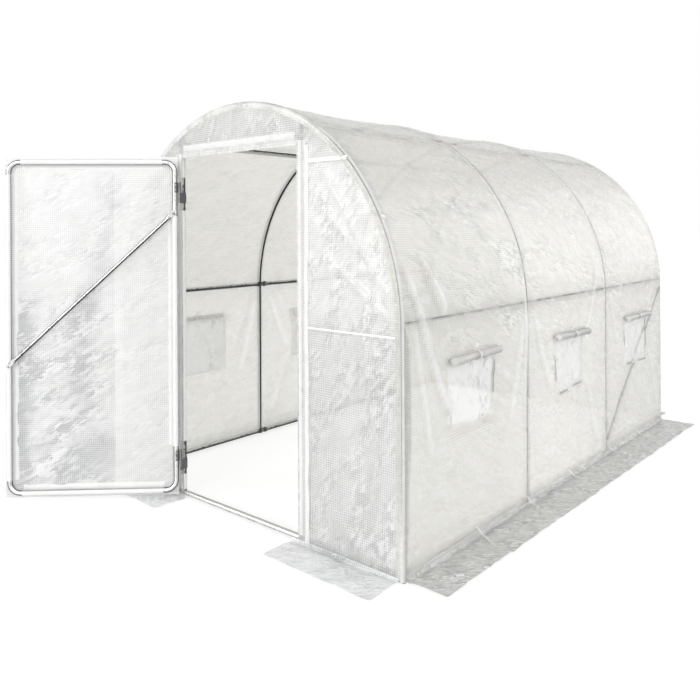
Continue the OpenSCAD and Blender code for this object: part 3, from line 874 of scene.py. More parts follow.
# Round an end hoop, from the hem's free edge on the gable to the top of the tube: how many layers the film
# looks like and its tone of painted light and shade, where the hem is white, where the tube shows through it,
# and near the foot
WHITE_HEM = np.array([1.6, 1.7, 1.8, 1.8, 1.7, 1.6, 1.5])[:, None]
CLEAR_HEM = np.array([1.0, 1.0, 0.8, 0.05, 0.05, 1.6, 2.2])[:, None]
FOOT_HEM = 1.6
WHITE_TONE = np.array([0.5, 0.5, 0.6, 0.7, 0.8, 0.8, 0.5])[:, None]
CLEAR_TONE = np.array([0.0, 0.0, 0.0, 0.0, 0.0, 0.8, 0.9])[:, None]
FOOT_TONE = np.array([-0.2, -0.2, 0.0, 0.6, 0.8, 0.7, 0.3])[:, None]


def make_cover():
    window_z = [WINDOW_Z, WINDOW_Z + WINDOW_H]
    s_marks = [wall_s(z, side) for side, _ in SIDES for z in window_z]
    s_marks += [line + d for line in purlin_s for d in PRESSED] + [0.012, 0.019, 0.026, around - 0.019]
    s_line = spaced(0.0, around, 0.0145, s_marks)
    beside = [y + d for y in hoop_y for d in BESIDE]
    openings = [y + d for y in window_y for d in (-WINDOW_W / 2, WINDOW_W / 2)]
    y_line = spaced(hoop_y[0], hoop_y[3], 0.0150, beside + openings)
    S, Y = np.meshgrid(s_line, y_line)
    # Round the end hoops: a hem on the gable, then a quarter turn over the tube
    turns = np.radians([90, 68, 46, 24])
    hem = np.array([HEM_W, HEM_W * 0.6, HEM_W * 0.25])
    end_rho = np.concatenate([hoop_r - hem, hoop_r + turn_r * np.cos(turns)])
    end_y = np.concatenate([np.full(3, turn_r + 0.0006), turn_r * np.sin(turns)])
    end_flat = np.concatenate([turn_r * math.pi / 2 + hem, turn_r * turns])
    x, z = section(np.repeat(s_line[None], len(end_y), 0), np.repeat(end_rho[:, None], len(s_line), 1))
    front = np.stack([x, np.repeat((hoop_y[0] - end_y)[:, None], len(s_line), 1), z], -1)
    rear = np.stack([x, np.repeat((hoop_y[3] + end_y)[:, None], len(s_line), 1), z], -1)[::-1]
    points = np.concatenate([front, cover_place(S, Y), rear])
    flat = np.concatenate([hoop_y[0] - end_flat, y_line, hoop_y[3] + end_flat[::-1]])
    # Over the crown the hem is white; down the front's right side the tube shows through it, cell by cell
    patchy = np.clip(0.75 + 0.5 * soft_noise(s_line / 0.05, 0 * s_line, 33), 0.3, 1)
    shows = np.interp(s_line, [wall_l + 0.85 * film_r, wall_l + 1.1 * film_r], [1, 0])
    near_foot = np.interp(s_line, [0.15, 0.45], [0.9, 0.0])
    white_hem = WHITE_HEM * patchy
    clear_hem = CLEAR_HEM * (1 - near_foot) + FOOT_HEM * near_foot
    front_hem = white_hem * (1 - shows) + clear_hem * shows
    layers = np.concatenate([front_hem, cover_layers(S, Y), white_hem[::-1]])
    white_tone = WHITE_TONE * np.ones_like(s_line)
    clear_tone = CLEAR_TONE * (1 - near_foot) + FOOT_TONE * near_foot
    front_tone = white_tone * (1 - shows) + clear_tone * shows
    tone = np.concatenate([front_tone, cover_tone(S, Y), white_tone[::-1]])
    S = np.repeat(s_line[None], len(flat), 0)
    Y = np.repeat(flat[:, None], len(s_line), 1)
    cell_y = (Y[:-1, :-1] + Y[1:, 1:]) / 2
    cell_z = window_side((S[:-1, :-1] + S[1:, 1:]) / 2)[1]
    cut = np.zeros(cell_y.shape, bool)
    for y_mid in window_y:
        beside_mid = np.abs(cell_y - y_mid) < WINDOW_W / 2
        cut |= beside_mid & (np.abs(cell_z - WINDOW_MID) < WINDOW_H / 2)
    # Strength of the painted glints: in patches, weaker low on the walls, strongest at the glint spots
    glint_boost = 0.45 * np.clip(1.5 * soft_noise(S / 0.30, Y / 0.26, 35) - 0.2, 0, 1)
    glint_boost *= np.interp(np.minimum(S, around - S), [0.45, 0.75], [0.2, 1.0])
    for y_mid, z_mid in GLINT_SPOTS:
        glint_boost += 0.7 * np.exp(-(((Y - y_mid) / 0.10) ** 2) - ((S + foot - z_mid) / 0.07) ** 2)
    cover = sheet_piece("cover_sheet", points, np.stack([S, Y], -1), layers, cover_film, ~cut,
                        glint_boost=glint_boost, tone=tone, line=brace_line(S, Y))
    return cover, (around, flat[-1] - flat[0])


cover, cover_flat = make_cover()
tunnel_sheet(
    cover,
    stands_for=("left_wall_film", "right_wall_film", "left_haunch_film", "right_haunch_film", "crown_film"),
)
print("cover cut from", [round(c, 3) for c in cover_flat], "m")

# %% [markdown]
# ## The gables
# The front gable is one sheet with the doorway cut out, and the rear one is whole. The columns
# of the grid crowd together towards the sides, so that the edge follows the arch. The film
# lies on the tubes and wrinkles only between them, outwards, where nothing is in its way.

# %% Gables: how far they stand out
gable_r = hoop_r - 0.002
gable_off = tube_r + 0.0008
strip_x = door_half + 0.056
MID_RAIL_Z, UPPER_RAIL_Z = 0.959, 1.6905
# Folds beside the doorway, as lines in (x, z) with their width and height
GABLE_FOLDS = [
    ((0.811, 0.94), (0.897, 0.42), 0.016, 0.006),
    ((0.86, 0.92), (0.93, 0.55), 0.012, 0.005),
    ((0.60, 1.62), (0.93, 1.12), 0.020, 0.006),
    ((0.55, 1.50), (0.78, 1.30), 0.016, 0.005),
    ((0.52, 0.90), (0.60, 0.35), 0.018, 0.004),
    ((0.70, 1.20), (0.95, 1.02), 0.015, 0.005),
    ((0.50, 0.30), (0.80, 0.06), 0.020, 0.004),
]


def held(distance, reach):
    """1 on a tube that holds the film, falling to 0 beside it."""
    return np.exp(-((distance / reach) ** 2))


def gable_lift(x, z, seed, front):
    """How far the gable film stands off its plane, outwards."""
    edge = np.minimum(hoop_r - np.hypot(x, np.maximum(z - leg_h, 0)), z)
    free = np.clip(edge / 0.05, 0, 1)
    lift = 0.0110 * (crumple(x / 0.17, z / 0.22, seed) - 0.45)
    lift = lift + 0.0018 * soft_noise(x / 0.045, z / 0.05, seed + 3)
    if front:
        for bar in (BASE_RAIL_Z, MID_RAIL_Z, UPPER_RAIL_Z):
            free = free * (1 - held(z - bar, 0.03) * (np.abs(x) > door_half))
        free = free * (1 - held(np.abs(x) - post_x, 0.03))
        free = free * (1 - held(z - lintel_z, 0.05) * (np.abs(x) < post_x))
        free = free * (1 - held(np.abs(x) - strip_x, 0.022))
        for start, end, width, rise in GABLE_FOLDS:
            lift = lift + fold(np.abs(x), z, start, end, width, 1.8 * rise)
    calm = np.where(x < 0, 0.28, 1.0) if front else 0.9
    return free * lift * calm


print("gable folds:", len(GABLE_FOLDS))

# %% Front and rear gable sheets
def make_gable(name, front):
    uprights = [side * math.asin(x / gable_r) for side, _ in SIDES for x in (door_half, post_x)]
    alpha = spaced(-math.pi / 2, math.pi / 2, 0.021, uprights)
    x = gable_r * np.sin(alpha)
    top = leg_h + gable_r * np.cos(alpha)
    door_top = leg_h + math.sqrt(gable_r ** 2 - door_half ** 2)
    t_head = (head_z - foot) / (door_top - foot)
    t = spaced(0.0, 1.0, 0.0095, [t_head])
    X, T = np.meshgrid(x, t)
    TOP = np.repeat(top[None], len(t), 0)
    Z = foot + T * (TOP - foot)
    keep = np.ones((len(t) - 1, len(x) - 1), bool)
    if front:
        over_door = np.abs(X) < door_half - 1e-6
        Z = np.where(over_door, head_z + (T - t_head) / (1 - t_head) * (TOP - head_z), Z)
        cell_x = (X[:-1, :-1] + X[1:, 1:]) / 2
        cell_t = (T[:-1, :-1] + T[1:, 1:]) / 2
        keep = ~((np.abs(cell_x) < door_half) & (cell_t < t_head))
    lift = gable_lift(X, Z, 60 if front else 80, front)
    Y = hoop_y[0] - gable_off - lift if front else hoop_y[3] + gable_off + lift
    layers = np.interp(Z, [1.78, 1.86], [1.0, 0.6])
    if front:
        under_lintel = np.interp(Z, [lintel_z - 0.010, lintel_z + 0.012], [1.0, 0.0])
        valance = (np.abs(X) < door_half) * under_lintel
        layers = layers + valance * (1.2 - layers)
    # Strength of the painted glints, in patches. The tone is painted shade: darker towards the foot and again
    # under the crown, with a little tone at random
    glint_boost = 0.40 * np.clip(soft_noise(X / 0.20, Z / 0.24, 66) + 0.25, 0, 1)
    tone = np.interp(Z, [0.2, 0.9, 1.05, 1.5, 1.70, 1.80], [-0.80, -0.38, 0.0, 0.25, 0.05, -0.58])
    tone = tone + 0.12 * soft_noise(X / 0.12, Z / 0.45, 67)
    if front:
        tone = tone + valance * (0.05 - tone)
    return sheet_piece(name, np.stack([X, Y, Z], -1), np.stack([X, Z], -1), layers, gable_film, keep,
                       not front, glint_boost, tone)


front_gable = make_gable("front_gable_sheet", True)
rear_gable = make_gable("rear_gable_sheet", False)

# %% [markdown]
# ## Sleeves and seam strips
# Where the gable film meets a tube, a sewn sleeve holds it: over the lintel, the rails and the
# door posts. A sleeve is a profile swept along its tube. Beside the posts runs a white welded
# strip. Most of it counts as more than one layer of film, so it reads whiter than the gable.

# %% Swept strips
def swept(name, path, across, out, profile, layers, material, flip=False, keep=None, tone=0.0):
    """A strip with the given profile (across, out) along a path; both directions are unit vectors."""
    path, profile = np.asarray(path, float), np.asarray(profile, float)
    across, out = np.asarray(across, float), np.asarray(out, float)
    points = path[:, None] + profile[None, :, :1] * across + profile[None, :, 1:] * out
    along = np.concatenate([[0], np.cumsum(np.linalg.norm(np.diff(path, axis=0), axis=1))])
    aside = np.concatenate([[0], np.cumsum(np.linalg.norm(np.diff(profile, axis=0), axis=1))])
    weave = np.stack(np.meshgrid(aside, along), -1)
    return sheet_piece(name, points, weave, layers, material, keep, flip, tone=tone)


def arc(radius, start, end, count):
    turn = np.radians(np.linspace(start, end, count))
    return [(radius * math.cos(a), radius * math.sin(a)) for a in turn]


def between(a, b, step=0.02):
    a, b = np.array(a, float), np.array(b, float)
    count = max(2, int(np.linalg.norm(b - a) / step) + 1)
    return a + np.linspace(0, 1, count)[:, None] * (b - a)


FRONT, REAR, UP = (0, -1, 0), (0, 1, 0), (0, 0, 1)
RIGHT, LEFT = (1, 0, 0), (-1, 0, 0)
print("strips run along a path, with a profile across it")

# %% Sleeves and seam strips on the gable
sleeve_r = tube_r + 0.0017
front_y = hoop_y[0]
lintel_half = door_half - 0.012
lintel_line = lintel_z + 0.004
# Half widths of the sleeve over the lintel and of the welded strips
LINTEL_SLEEVE, SEAM_HALF = 0.0155, 0.012
SEAM_PROFILE = [(share * SEAM_HALF, gable_off + out)
                for share, out in ((-1, 0.0010), (-0.5, 0.0022), (0.5, 0.0022), (1, 0.0010))]
# Each gable rail's name, height, far end, half width of its sleeve and layers
RAIL_SLEEVES = (("mid", MID_RAIL_Z, 0.965, 0.0045, 2.4), ("upper", UPPER_RAIL_Z, 0.715, 0.0080, 3.0))


def half_sleeve(width):
    """Profile of film pressed over the front half of a tube; what is wider lies flat beside it."""
    profile = []
    for across in width * np.linspace(-1, 1, 15):
        over_tube = math.sqrt(max(sleeve_r ** 2 - across ** 2, 0)) + 0.0004
        profile.append((across, max(gable_off + 0.0006, over_tube)))
    return profile


lintel_path = between((-lintel_half, front_y, lintel_line), (lintel_half, front_y, lintel_line))
# The rail sleeves are painted paler, as painted light, and the lintel sleeve a little greyer
sleeves = [swept("lintel_sleeve", lintel_path, UP, FRONT, half_sleeve(LINTEL_SLEEVE), 1.4, band_film,
                 True, tone=-0.12)]
for side, word in SIDES:
    for label, bar, end, half, layers in RAIL_SLEEVES:
        path = between((side * (strip_x - 0.02), front_y, bar), (side * end, front_y, bar))
        sleeves.append(swept(f"{word}_{label}_rail_sleeve", path, UP, FRONT, half_sleeve(half), layers,
                             band_film, side > 0, tone=0.6))
    strip = between((side * strip_x, front_y, 0.012), (side * strip_x, front_y, 1.76))
    strip[:, 0] += 0.0025 * soft_noise(strip[:, 2] / 0.10, 0 * strip[:, 2], 70 + side)
    sleeves.append(swept(f"{word}_post_seam", strip, RIGHT, FRONT, SEAM_PROFILE, 1.4, band_film))
print("sleeves:", [s.name for s in sleeves])

# %% Post sleeves
# The film goes round each post and back; it is open where the hinges pass, and the right one has two slits
SLITS = ((0.668, 0.694), (0.955, 0.999))
WRAP_POINTS = 15


def post_sleeve(name, side, low, high, slits=()):
    """Film round one post: a lap on the gable, the wrap round the tube, and a lap inside."""
    wrap = [(0.044, sleeve_r + 0.0006), (0.028, sleeve_r + 0.0005)]
    wrap += [(0.021, sleeve_r + 0.0005), (0.015, sleeve_r + 0.0004)]
    wrap += arc(sleeve_r, 90, 270, WRAP_POINTS)
    wrap += [(0.025, -sleeve_r - 0.0005), (0.040, -sleeve_r - 0.0008)]
    # Painted shade in two thin lines beside the wrap, and painted light on the wrap
    layers = np.array([1.0, 0.9, 0.7, 0.9] + [1.3] * WRAP_POINTS + [1.2, 1.2])
    tone = np.array([0.0, -0.55, -0.60, -0.2] + [0.4] * WRAP_POINTS + [0.0, 0.0])
    path = between((side * post_x, front_y, low), (side * post_x, front_y, high), 0.013)
    keep = np.ones((len(path) - 1, len(wrap) - 1), bool)
    for start, end in slits:
        keep[(path[:-1, 2] > start) & (path[1:, 2] < end), 2] = False
    return swept(name, path, (side, 0, 0), FRONT, wrap, layers, band_film, side < 0, keep, tone)


sleeves.append(post_sleeve("right_post_sleeve", 1, 0.040, head_z + 0.02, SLITS))
for number, (low, high) in enumerate([(0.04, 0.12), (0.29, 1.49), (1.66, head_z + 0.02)]):
    sleeves.append(post_sleeve(f"left_post_sleeve_{number + 1}", -1, low, high))
for piece in sleeves:
    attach(piece, "tunnel")
tunnel_sheet(front_gable,
             stands_for=("front_left_film", "front_right_film", "front_head_film"))
tunnel_sheet(rear_gable,
             stands_for=("rear_film",))
print("post sleeves ready")

# %% [markdown]
# ## Skirts
# The film's lower edge lies on the ground as a skirt, which is weighed down in use. It is
# wrinkled across its width, its outer edge is uneven, and its inner edge turns up the wall.
# The same function makes all five, from the corner, the direction and the size.

# %% Skirts on the ground
def make_skirt(name, corner, along, outward, length, width, spread, seed, material):
    """corner is where the inner edge starts; along and outward are unit directions on the ground.

    spread is how much wider the skirt is at its far end."""
    u = spaced(0, length, 0.011)
    v = np.concatenate([[0, 0.15, 0.4], spaced(0.8, 10, 0.42)]) / 10
    U, V = np.meshgrid(u, v)
    share = U / length
    slant = U + 0.35 * V * width + 0.03 * soft_noise(U / 0.4, V * 2, seed)
    ragged = 0.018 * soft_noise(U / 0.22, 0 * U, seed + 1) + 0.012 * soft_noise(U / 0.03, 0 * U, seed + 9)
    outer = (width + spread * share) * (0.985 + ragged)
    W = V * outer
    body = np.clip(V / 0.15, 0, 1)
    rise = 0.0062 * (1 + soft_noise(slant / 0.085, W / 0.16, seed + 2)) * body
    rise += 0.0070 * crumple(slant / 0.10, W / 0.16, seed + 3) * body
    rise += 0.0012 * (1 + soft_noise(U / 0.022, W / 0.06, seed + 5)) * body
    rise *= 0.35 + 0.65 * np.clip(1.15 - np.abs(V - 0.45) * 1.2, 0, 1)
    turn_up = np.exp(-((V / 0.03) ** 2))
    Z = 0.0012 + rise * (1 - turn_up) + 0.016 * turn_up
    U = U + 0.004 * soft_noise(V * 6, share * 9, seed + 7) * V
    corner, along, outward = (np.array(d, float) for d in (corner, along, outward))
    points = corner + U[..., None] * along + W[..., None] * outward
    points[..., 2] += Z
    flip = np.cross(along, outward)[2] > 0
    layers = np.where(V > 0.95, 1.9, 1.0)
    # Painted shade: dark along the inner edge by the wall and fading outwards, patchy along the skirt; then
    # the strength of its painted glints
    tone = np.interp(V, [0.0, 0.015, 0.04, 0.16, 0.30], [-0.9, -1.0, -1.0, -0.7, 0.0])
    tone = tone * np.clip(0.75 + 0.6 * soft_noise(U / 0.25, 0 * U, seed + 13), 0.2, 1)
    glint_boost = 0.25 * np.clip(soft_noise(U / 0.15, W / 0.15, seed + 11) + 0.2, 0, 1)
    return sheet_piece(name, points, np.stack([U, W], -1), layers, material, None, not flip, glint_boost, tone)


right_low, right_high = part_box("right_skirt")
front_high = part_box("front_skirts")[1]
rear_low, rear_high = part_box("rear_skirt")
skirt_w = right_high.x - right_low.x
side_l, rear_l = right_high.y - right_low.y, rear_high.x - rear_low.x
door_skirt_x = door_half - 0.030
front_l = front_high.x - door_skirt_x
SIDE_SPREAD = 0.040
# Each skirt's piece, CAD node and rail, where its inner edge starts, and the directions along and outward
SKIRTS = [
    ("right_skirt_sheet", "right_skirt", "right_base_rail", (right_low.x, right_low.y, 0), REAR, RIGHT),
    ("left_skirt_sheet", "left_skirt", "left_base_rail", (-right_low.x, right_low.y, 0), REAR, LEFT),
    ("rear_skirt_sheet", "rear_skirt", "rear_sill", (rear_low.x, rear_low.y, 0), RIGHT, REAR),
    ("front_right_skirt_sheet", "front_skirts", "front_sill", (door_skirt_x, front_high.y, 0), RIGHT, FRONT),
    ("front_left_skirt_sheet", "front_skirts", "front_sill", (-door_skirt_x, front_high.y, 0), LEFT, FRONT),
]
# Length, spread and film of each CAD node's skirts
SKIRT_CUTS = {
    "right_skirt": (side_l, SIDE_SPREAD, skirt_film), "left_skirt": (side_l, SIDE_SPREAD, skirt_film),
    "rear_skirt": (rear_l, 0.0, skirt_film), "front_skirts": (front_l, 0.0, front_skirt_film),
}
for number, (name, node, rail, corner, along, outward) in enumerate(SKIRTS):
    length, spread, material = SKIRT_CUTS[node]
    skirt = make_skirt(name, corner, along, outward, length, skirt_w, spread, 100 + 20 * number, material)
    tunnel_sheet(skirt,
                 stands_for=(node,))

# %% [markdown]
# ## Windows
# Behind each opening a net is sewn on, a little larger than the opening. Above it the flap is
# rolled up: a spiral of film, pinched in the middle by its tie. The spiral is drawn as the
# path that the film really takes, from its seam above the opening down round the roll.

# %% Nets
BAYS = ("front", "middle", "rear")
NET_LAP = 0.018
# Painted light on the right nets, from the front, and on the left ones, which are seen from inside
NET_TONE, LEFT_NET_TONE = (0.25, 0.85, 0.85), 0.7


def make_net(name, side, window):
    y_mid = window_y[window]
    y = spaced(y_mid - WINDOW_W / 2 - NET_LAP, y_mid + WINDOW_W / 2 + NET_LAP, 0.015)
    z = spaced(WINDOW_Z - NET_LAP, WINDOW_Z + WINDOW_H + NET_LAP, 0.015)
    Y, Z = np.meshgrid(y, z)
    s = wall_s(Z, side)
    sag = 0.004 * np.sin(math.pi * (Z - z[0]) / (z[-1] - z[0]))
    X = side * (film_r - 0.0022 + cover_lift(s, Y) - sag)
    layers = 1.0 if side > 0 else 2.2
    tone = NET_TONE[window] if side > 0 else LEFT_NET_TONE
    # Strong painted glints, and painted shade where the brace presses on the net
    return sheet_piece(name, np.stack([X, Y, Z], -1), np.stack([Y, Z], -1), layers, net_mesh,
                       flip=side < 0, glint_boost=0.9, tone=tone, line=brace_line(s, Y))


print("net lap", NET_LAP)

# %% Nets in place, with bindings round the openings
# A tape binds the cut edge. It is painted white as light, and grey as painted shade where it has turned over:
# for each opening's three sides, left from the top, lower from the left and right from the bottom, the shares
# where it is grey
GREY_PARTS = {
    "front": ((), (), ((0.35, 0.95),)),
    "middle": (((0.30, 0.78),), ((0.0, 0.38), (0.55, 0.97)), ()),
    "rear": (((0.25, 0.62),), ((0.0, 0.32), (0.60, 1.0)), ((0.25, 0.75),)),
}
BINDING_W = 0.011


def make_binding(name, side, window, place):
    low, high = window_y[window] - WINDOW_W / 2, window_y[window] + WINDOW_W / 2
    top = WINDOW_Z + WINDOW_H
    corners = [(low, top), (low, WINDOW_Z), (high, WINDOW_Z), (high, top)]
    sides = [between(a, b, 0.012) for a, b in zip(corners, corners[1:])]
    outwards = ((-1, 0), (0, -1), (1, 0))
    aside = np.concatenate([np.repeat([d], len(line), 0) for line, d in zip(sides, outwards)])
    grey = []
    for line, parts in zip(sides, GREY_PARTS[place]):
        share = np.linspace(0, 1, len(line))
        grey.append(sum(((share > start) & (share < end) for start, end in parts), np.zeros(len(line), bool)))
    grey = np.concatenate(grey)[:, None]
    flat = np.concatenate(sides)[:, None] + np.array([0.0, BINDING_W])[None, :, None] * aside[:, None]
    y = flat[..., 0] if side > 0 else turned_y(flat[..., 0])
    points = cover_place(wall_s(flat[..., 1], side), y)
    points[..., 0] += side * 0.0016
    return sheet_piece(name, points, flat, np.where(grey, 1.0, 0.35), binding, flip=side < 0,
                       tone=np.where(grey, -1.2, 0.8))


for side, word in SIDES:
    for window, place in enumerate(BAYS):
        net = make_net(f"{word}_net_{place}", side, window)
        tape = make_binding(f"{word}_binding_{place}", side, window, place)
        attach(tape, "tunnel")
        tunnel_sheet(net,
                     stands_for=(f"{word}_window_nets",))

# %% Rolled flaps
roll_low, roll_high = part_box("right_window_rolls")
roll_r = (roll_high.x - roll_low.x) / 2
roll_x, roll_z = (roll_low.x + roll_high.x) / 2, (roll_low.z + roll_high.z) / 2
roll_l = WINDOW_W + 0.03
# Radius lost in one turn, length of the rounded ends, and how many turns the film makes
ROLL_PITCH, ROLL_CAP, ROLL_TURNS = 0.0040, 0.016, 4.4
# For each roll: the painted light on its front end, how much greyer its middle is, its tilt, and how far it
# is pulled up
ROLL_PALE = {"front": 0.2, "middle": 0.6, "rear": 0.3}
ROLL_GREY = {"front": 0.0, "middle": 0.45, "rear": 0.35}
ROLL_TILT = {"front": 0.010, "middle": -0.016, "rear": 0.008}
ROLL_RISE = {"front": 0.027, "middle": 0.0, "rear": 0.0}


def make_roll(name, side, window, place):
    """One rolled flap and the height of its flat cut."""
    caps = [end * (roll_l / 2 - ROLL_CAP * share) for end in (-1, 1) for share in (0.2, 0.5, 1)]
    y = spaced(-roll_l / 2, roll_l / 2, 0.012, caps)
    turn = np.radians(np.arange(150, 150 + 360 * ROLL_TURNS, 15))
    turns = (turn - turn[0]) / (2 * math.pi)
    neck_z = np.array([0.021, 0.018, 0.015])
    seed = 200 + 10 * window + side
    Y, TURN = np.meshgrid(y, turn)
    TURNS = np.repeat(turns[:, None], len(y), 1)
    pinch = 1 - 0.20 * np.exp(-((Y / 0.030) ** 2))
    radius = (roll_r - 0.0016 - ROLL_PITCH * TURNS) * pinch
    radius *= 1 + 0.08 * soft_noise(TURN / 1.3, Y / 0.13, seed) * np.clip(radius / roll_r, 0, 1)
    ended = np.clip((np.abs(Y) - roll_l / 2 + ROLL_CAP) / ROLL_CAP, 0, 1)
    radius *= 1 - 0.75 * ended ** 2
    slip = 0.004 * soft_noise(TURNS * 1.7, np.sign(Y) * 3, seed + 1) * (2 * Y / roll_l) ** 3
    X = radius * np.cos(TURN)
    Z = 0.92 * radius * np.sin(TURN)
    wall_x = film_r + 0.0012 - roll_x
    neck_y, neck_z = np.meshgrid(y, neck_z)
    neck = np.stack([np.full(neck_y.shape, wall_x), neck_y, neck_z], -1)
    local = np.concatenate([neck, np.stack([np.maximum(X, wall_x + 0.0008), Y + slip, Z], -1)])
    local[3:, :, 2] += ROLL_TILT[place] * side * local[3:, :, 1]
    s_top = wall_s(roll_z + 0.03, side)
    local[..., 0] += cover_lift(np.full(len(y), s_top), window_y[window] + y)
    points = local + np.array([roll_x, window_y[window], roll_z + ROLL_RISE[place]])
    points[..., 0] *= side
    step = np.linalg.norm(np.diff(local[:, len(y) // 4], axis=0), axis=1)
    path = np.concatenate([[0], np.cumsum(step)])
    weave = np.stack(np.meshgrid(y, path), -1)
    # Painted shade and light: grey below and pale above, painted light at the front end and painted shade at
    # the rear end
    under = np.concatenate([[1.0] * 3, np.sin(turn)])
    painted_shading = np.interp(under, [-1.0, -0.80, -0.55, 0.4, 1.0], [-1.0, -0.8, -0.05, 0.0, 0.3])[:, None]
    front_end = np.clip((-2 * y / roll_l - 0.84) / 0.08, 0, 1) * (np.arange(len(local)) > 2)[:, None]
    rear_end = np.clip((2 * y / roll_l - 0.93) / 0.05, 0, 1)
    tone = (painted_shading - ROLL_GREY[place]) * (1 - front_end) + ROLL_PALE[place] * front_end - 0.8 * rear_end
    # The right rolls are painted darker towards the rear, and the left ones, seen from inside, are painted
    # paler
    tone = tone - 0.3 * (y / roll_l + 0.5) if side > 0 else tone + 0.9
    roll = sheet_piece(name, points, weave, 1.2 + front_end, roll_film, flip=side < 0, glint_boost=0.1, tone=tone)
    return roll, float(path[-1])


for side, word in SIDES:
    for window, place in enumerate(BAYS):
        roll, cut = make_roll(f"{word}_roll_{place}", side, window, place)
        tunnel_sheet(roll,
                     stands_for=(f"{word}_window_rolls",))
print("flap cut", round(cut, 3), "m high")

# %% [markdown]
# ## Door leaf
# The leaf stands open, and its own directions make it easy to build: a along the leaf from the
# hinge, b towards its inner face, and z up. Its film hangs on a ring of tube. Sleeves hold it
# on the straight parts and leave the bends bare; inside them runs a flat white band.

# %% Leaf directions
OPEN = math.radians(137)
leaf_a = np.array([math.cos(OPEN), -math.sin(OPEN), 0])
leaf_b = np.array([math.sin(OPEN), math.cos(OPEN), 0])
# The pin stands inside the doorway, in front of the film by the leaf's gap and its tube
PIN_INSET, SEAT, FILM_T, LEAF_GAP = 0.008, 0.0003, 0.002, 0.009
pin = np.array([-(door_half - PIN_INSET), front_y - (tube_r + SEAT + FILM_T + LEAF_GAP + tube_r), 0])
STILE_A, FREE_A = 0.024, 0.864


def on_leaf(a, b, z):
    """Places on the leaf from its own directions."""
    return pin + np.multiply.outer(a, leaf_a) + np.multiply.outer(b, leaf_b) + np.multiply.outer(z, (0, 0, 1))


print("leaf from", np.round(on_leaf(0.0, 0.0, 0.0), 3))

# %% Leaf film
leaf_low, leaf_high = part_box("door_film")
bow_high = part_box("door_top_bow")[1].z
bow_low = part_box("door_bottom_bow")[0].z
top_z, low_z = bow_high - tube_r, bow_low + tube_r
# Where the film starts and ends along the leaf, its welded seam, and the width of its double edge
START_A, EDGE_A = 0.0120, 0.8915
LEAF_SEAM = 0.336
EDGE_W = 0.008
# Folds of the film, as lines in (a, z) with their width and height
LEAF_FOLDS = [
    ((0.80, 1.66), (0.18, 0.80), 0.075, 0.013),
    ((0.55, 1.70), (0.10, 1.15), 0.060, 0.009),
    ((0.82, 0.86), (0.34, 0.30), 0.070, 0.014),
    ((0.60, 0.62), (0.30, 0.90), 0.030, 0.007),
    ((0.80, 0.28), (0.36, 0.58), 0.034, 0.009),
    ((0.72, 0.16), (0.30, 0.40), 0.028, 0.007),
    ((0.84, 0.50), (0.62, 0.10), 0.050, 0.011),
    ((0.25, 0.75), (0.12, 0.30), 0.030, 0.005),
    ((0.70, 1.00), (0.50, 0.70), 0.030, 0.006),
]
# Painted shade where the film hangs slack, as lines in (a, z) with their width and depth
LEAF_SHADES = [
    ((0.30, 1.72), (0.47, 0.95), 0.050, 0.45),
    ((0.47, 1.10), (0.53, 0.45), 0.060, 0.60),
    ((0.80, 1.05), (0.81, 0.02), 0.045, 0.90),
    ((0.36, 0.34), (0.60, 0.05), 0.110, 0.75),
    ((0.38, 0.62), (0.74, 0.22), 0.045, 0.45),
    ((0.12, 1.70), (0.16, 1.20), 0.035, 0.30),
]


def make_leaf_film():
    a = spaced(START_A, EDGE_A, 0.0125, (STILE_A, LEAF_SEAM - 0.002, LEAF_SEAM + 0.002, FREE_A))
    z = spaced(leaf_low.z, leaf_high.z, 0.0125)
    A, Z = np.meshgrid(a, z)
    to_stile = np.minimum(np.abs(A - STILE_A), np.abs(FREE_A - A))
    ring = np.minimum(to_stile, np.minimum(np.abs(Z - low_z), np.abs(top_z - Z)))
    inner = (A > STILE_A) & (A < FREE_A) & (Z > bow_low) & (Z < bow_high)
    free = np.clip((ring - 0.02) / 0.08, 0, 1) * inner
    rumpled = np.clip(1.3 - Z, 0.25, 1) * np.clip(1.6 * A, 0.3, 1)
    lift = 0.0120 * rumpled * (crumple(A / 0.11 + 0.5 * Z, Z / 0.13, 300) - 0.35)
    lift = lift + 0.0020 * soft_noise(A / 0.04, Z / 0.045, 305)
    for start, end, width, rise in LEAF_FOLDS:
        lift = lift + fold(A, Z, start, end, width, rise)
    hanging = 0.0035 * soft_noise(A / 0.10, Z / 0.35, 308) * (~inner) * np.clip((ring - 0.014) / 0.012, 0, 1)
    B = -(tube_r + 0.0010) + free * lift - np.abs(hanging) * 0.4
    edge = (A > EDGE_A - EDGE_W) | (Z < leaf_low.z + EDGE_W) | (Z > leaf_high.z - EDGE_W)
    layers = np.where(edge, 2.0, 1.0)
    # Strength of the painted glints: strongest low on the free side, in patches
    patch = 0.5 + 0.8 * soft_noise(A / 0.22 + 0.6 * Z, Z / 0.30, 311)
    low_and_free = np.clip(1.55 - 1.3 * Z, 0.08, 1) * np.clip(2.2 * A - 0.45, 0.10, 1)
    glint_boost = 1.60 * inner * low_and_free * np.clip(patch, 0, 1)
    # Painted light and shade: paler up at the free corner and on the hinge side of the seam, greyer low
    # beyond the seam, and painted shade along the slack lines
    tone = 0.25 * np.clip((Z - 0.9) / 0.5, 0, 1) * np.clip((A - 0.3) / 0.3, 0, 1)
    tone += np.where(A < LEAF_SEAM, 0.36, -0.18 * np.clip((1.15 - Z) / 0.4, 0, 1))
    for start, end, width, grey in LEAF_SHADES:
        tone = tone - fold(A, Z, start, end, width, grey) * inner
    return sheet_piece("leaf_sheet", on_leaf(A, B, Z), np.stack([A, Z], -1), layers, leaf_film,
                       glint_boost=glint_boost, tone=tone)


leaf_sheet = make_leaf_film()

# %% Leaf sleeves
SLEEVE_LAP, SLEEVE_EDGE = 0.040, 0.026


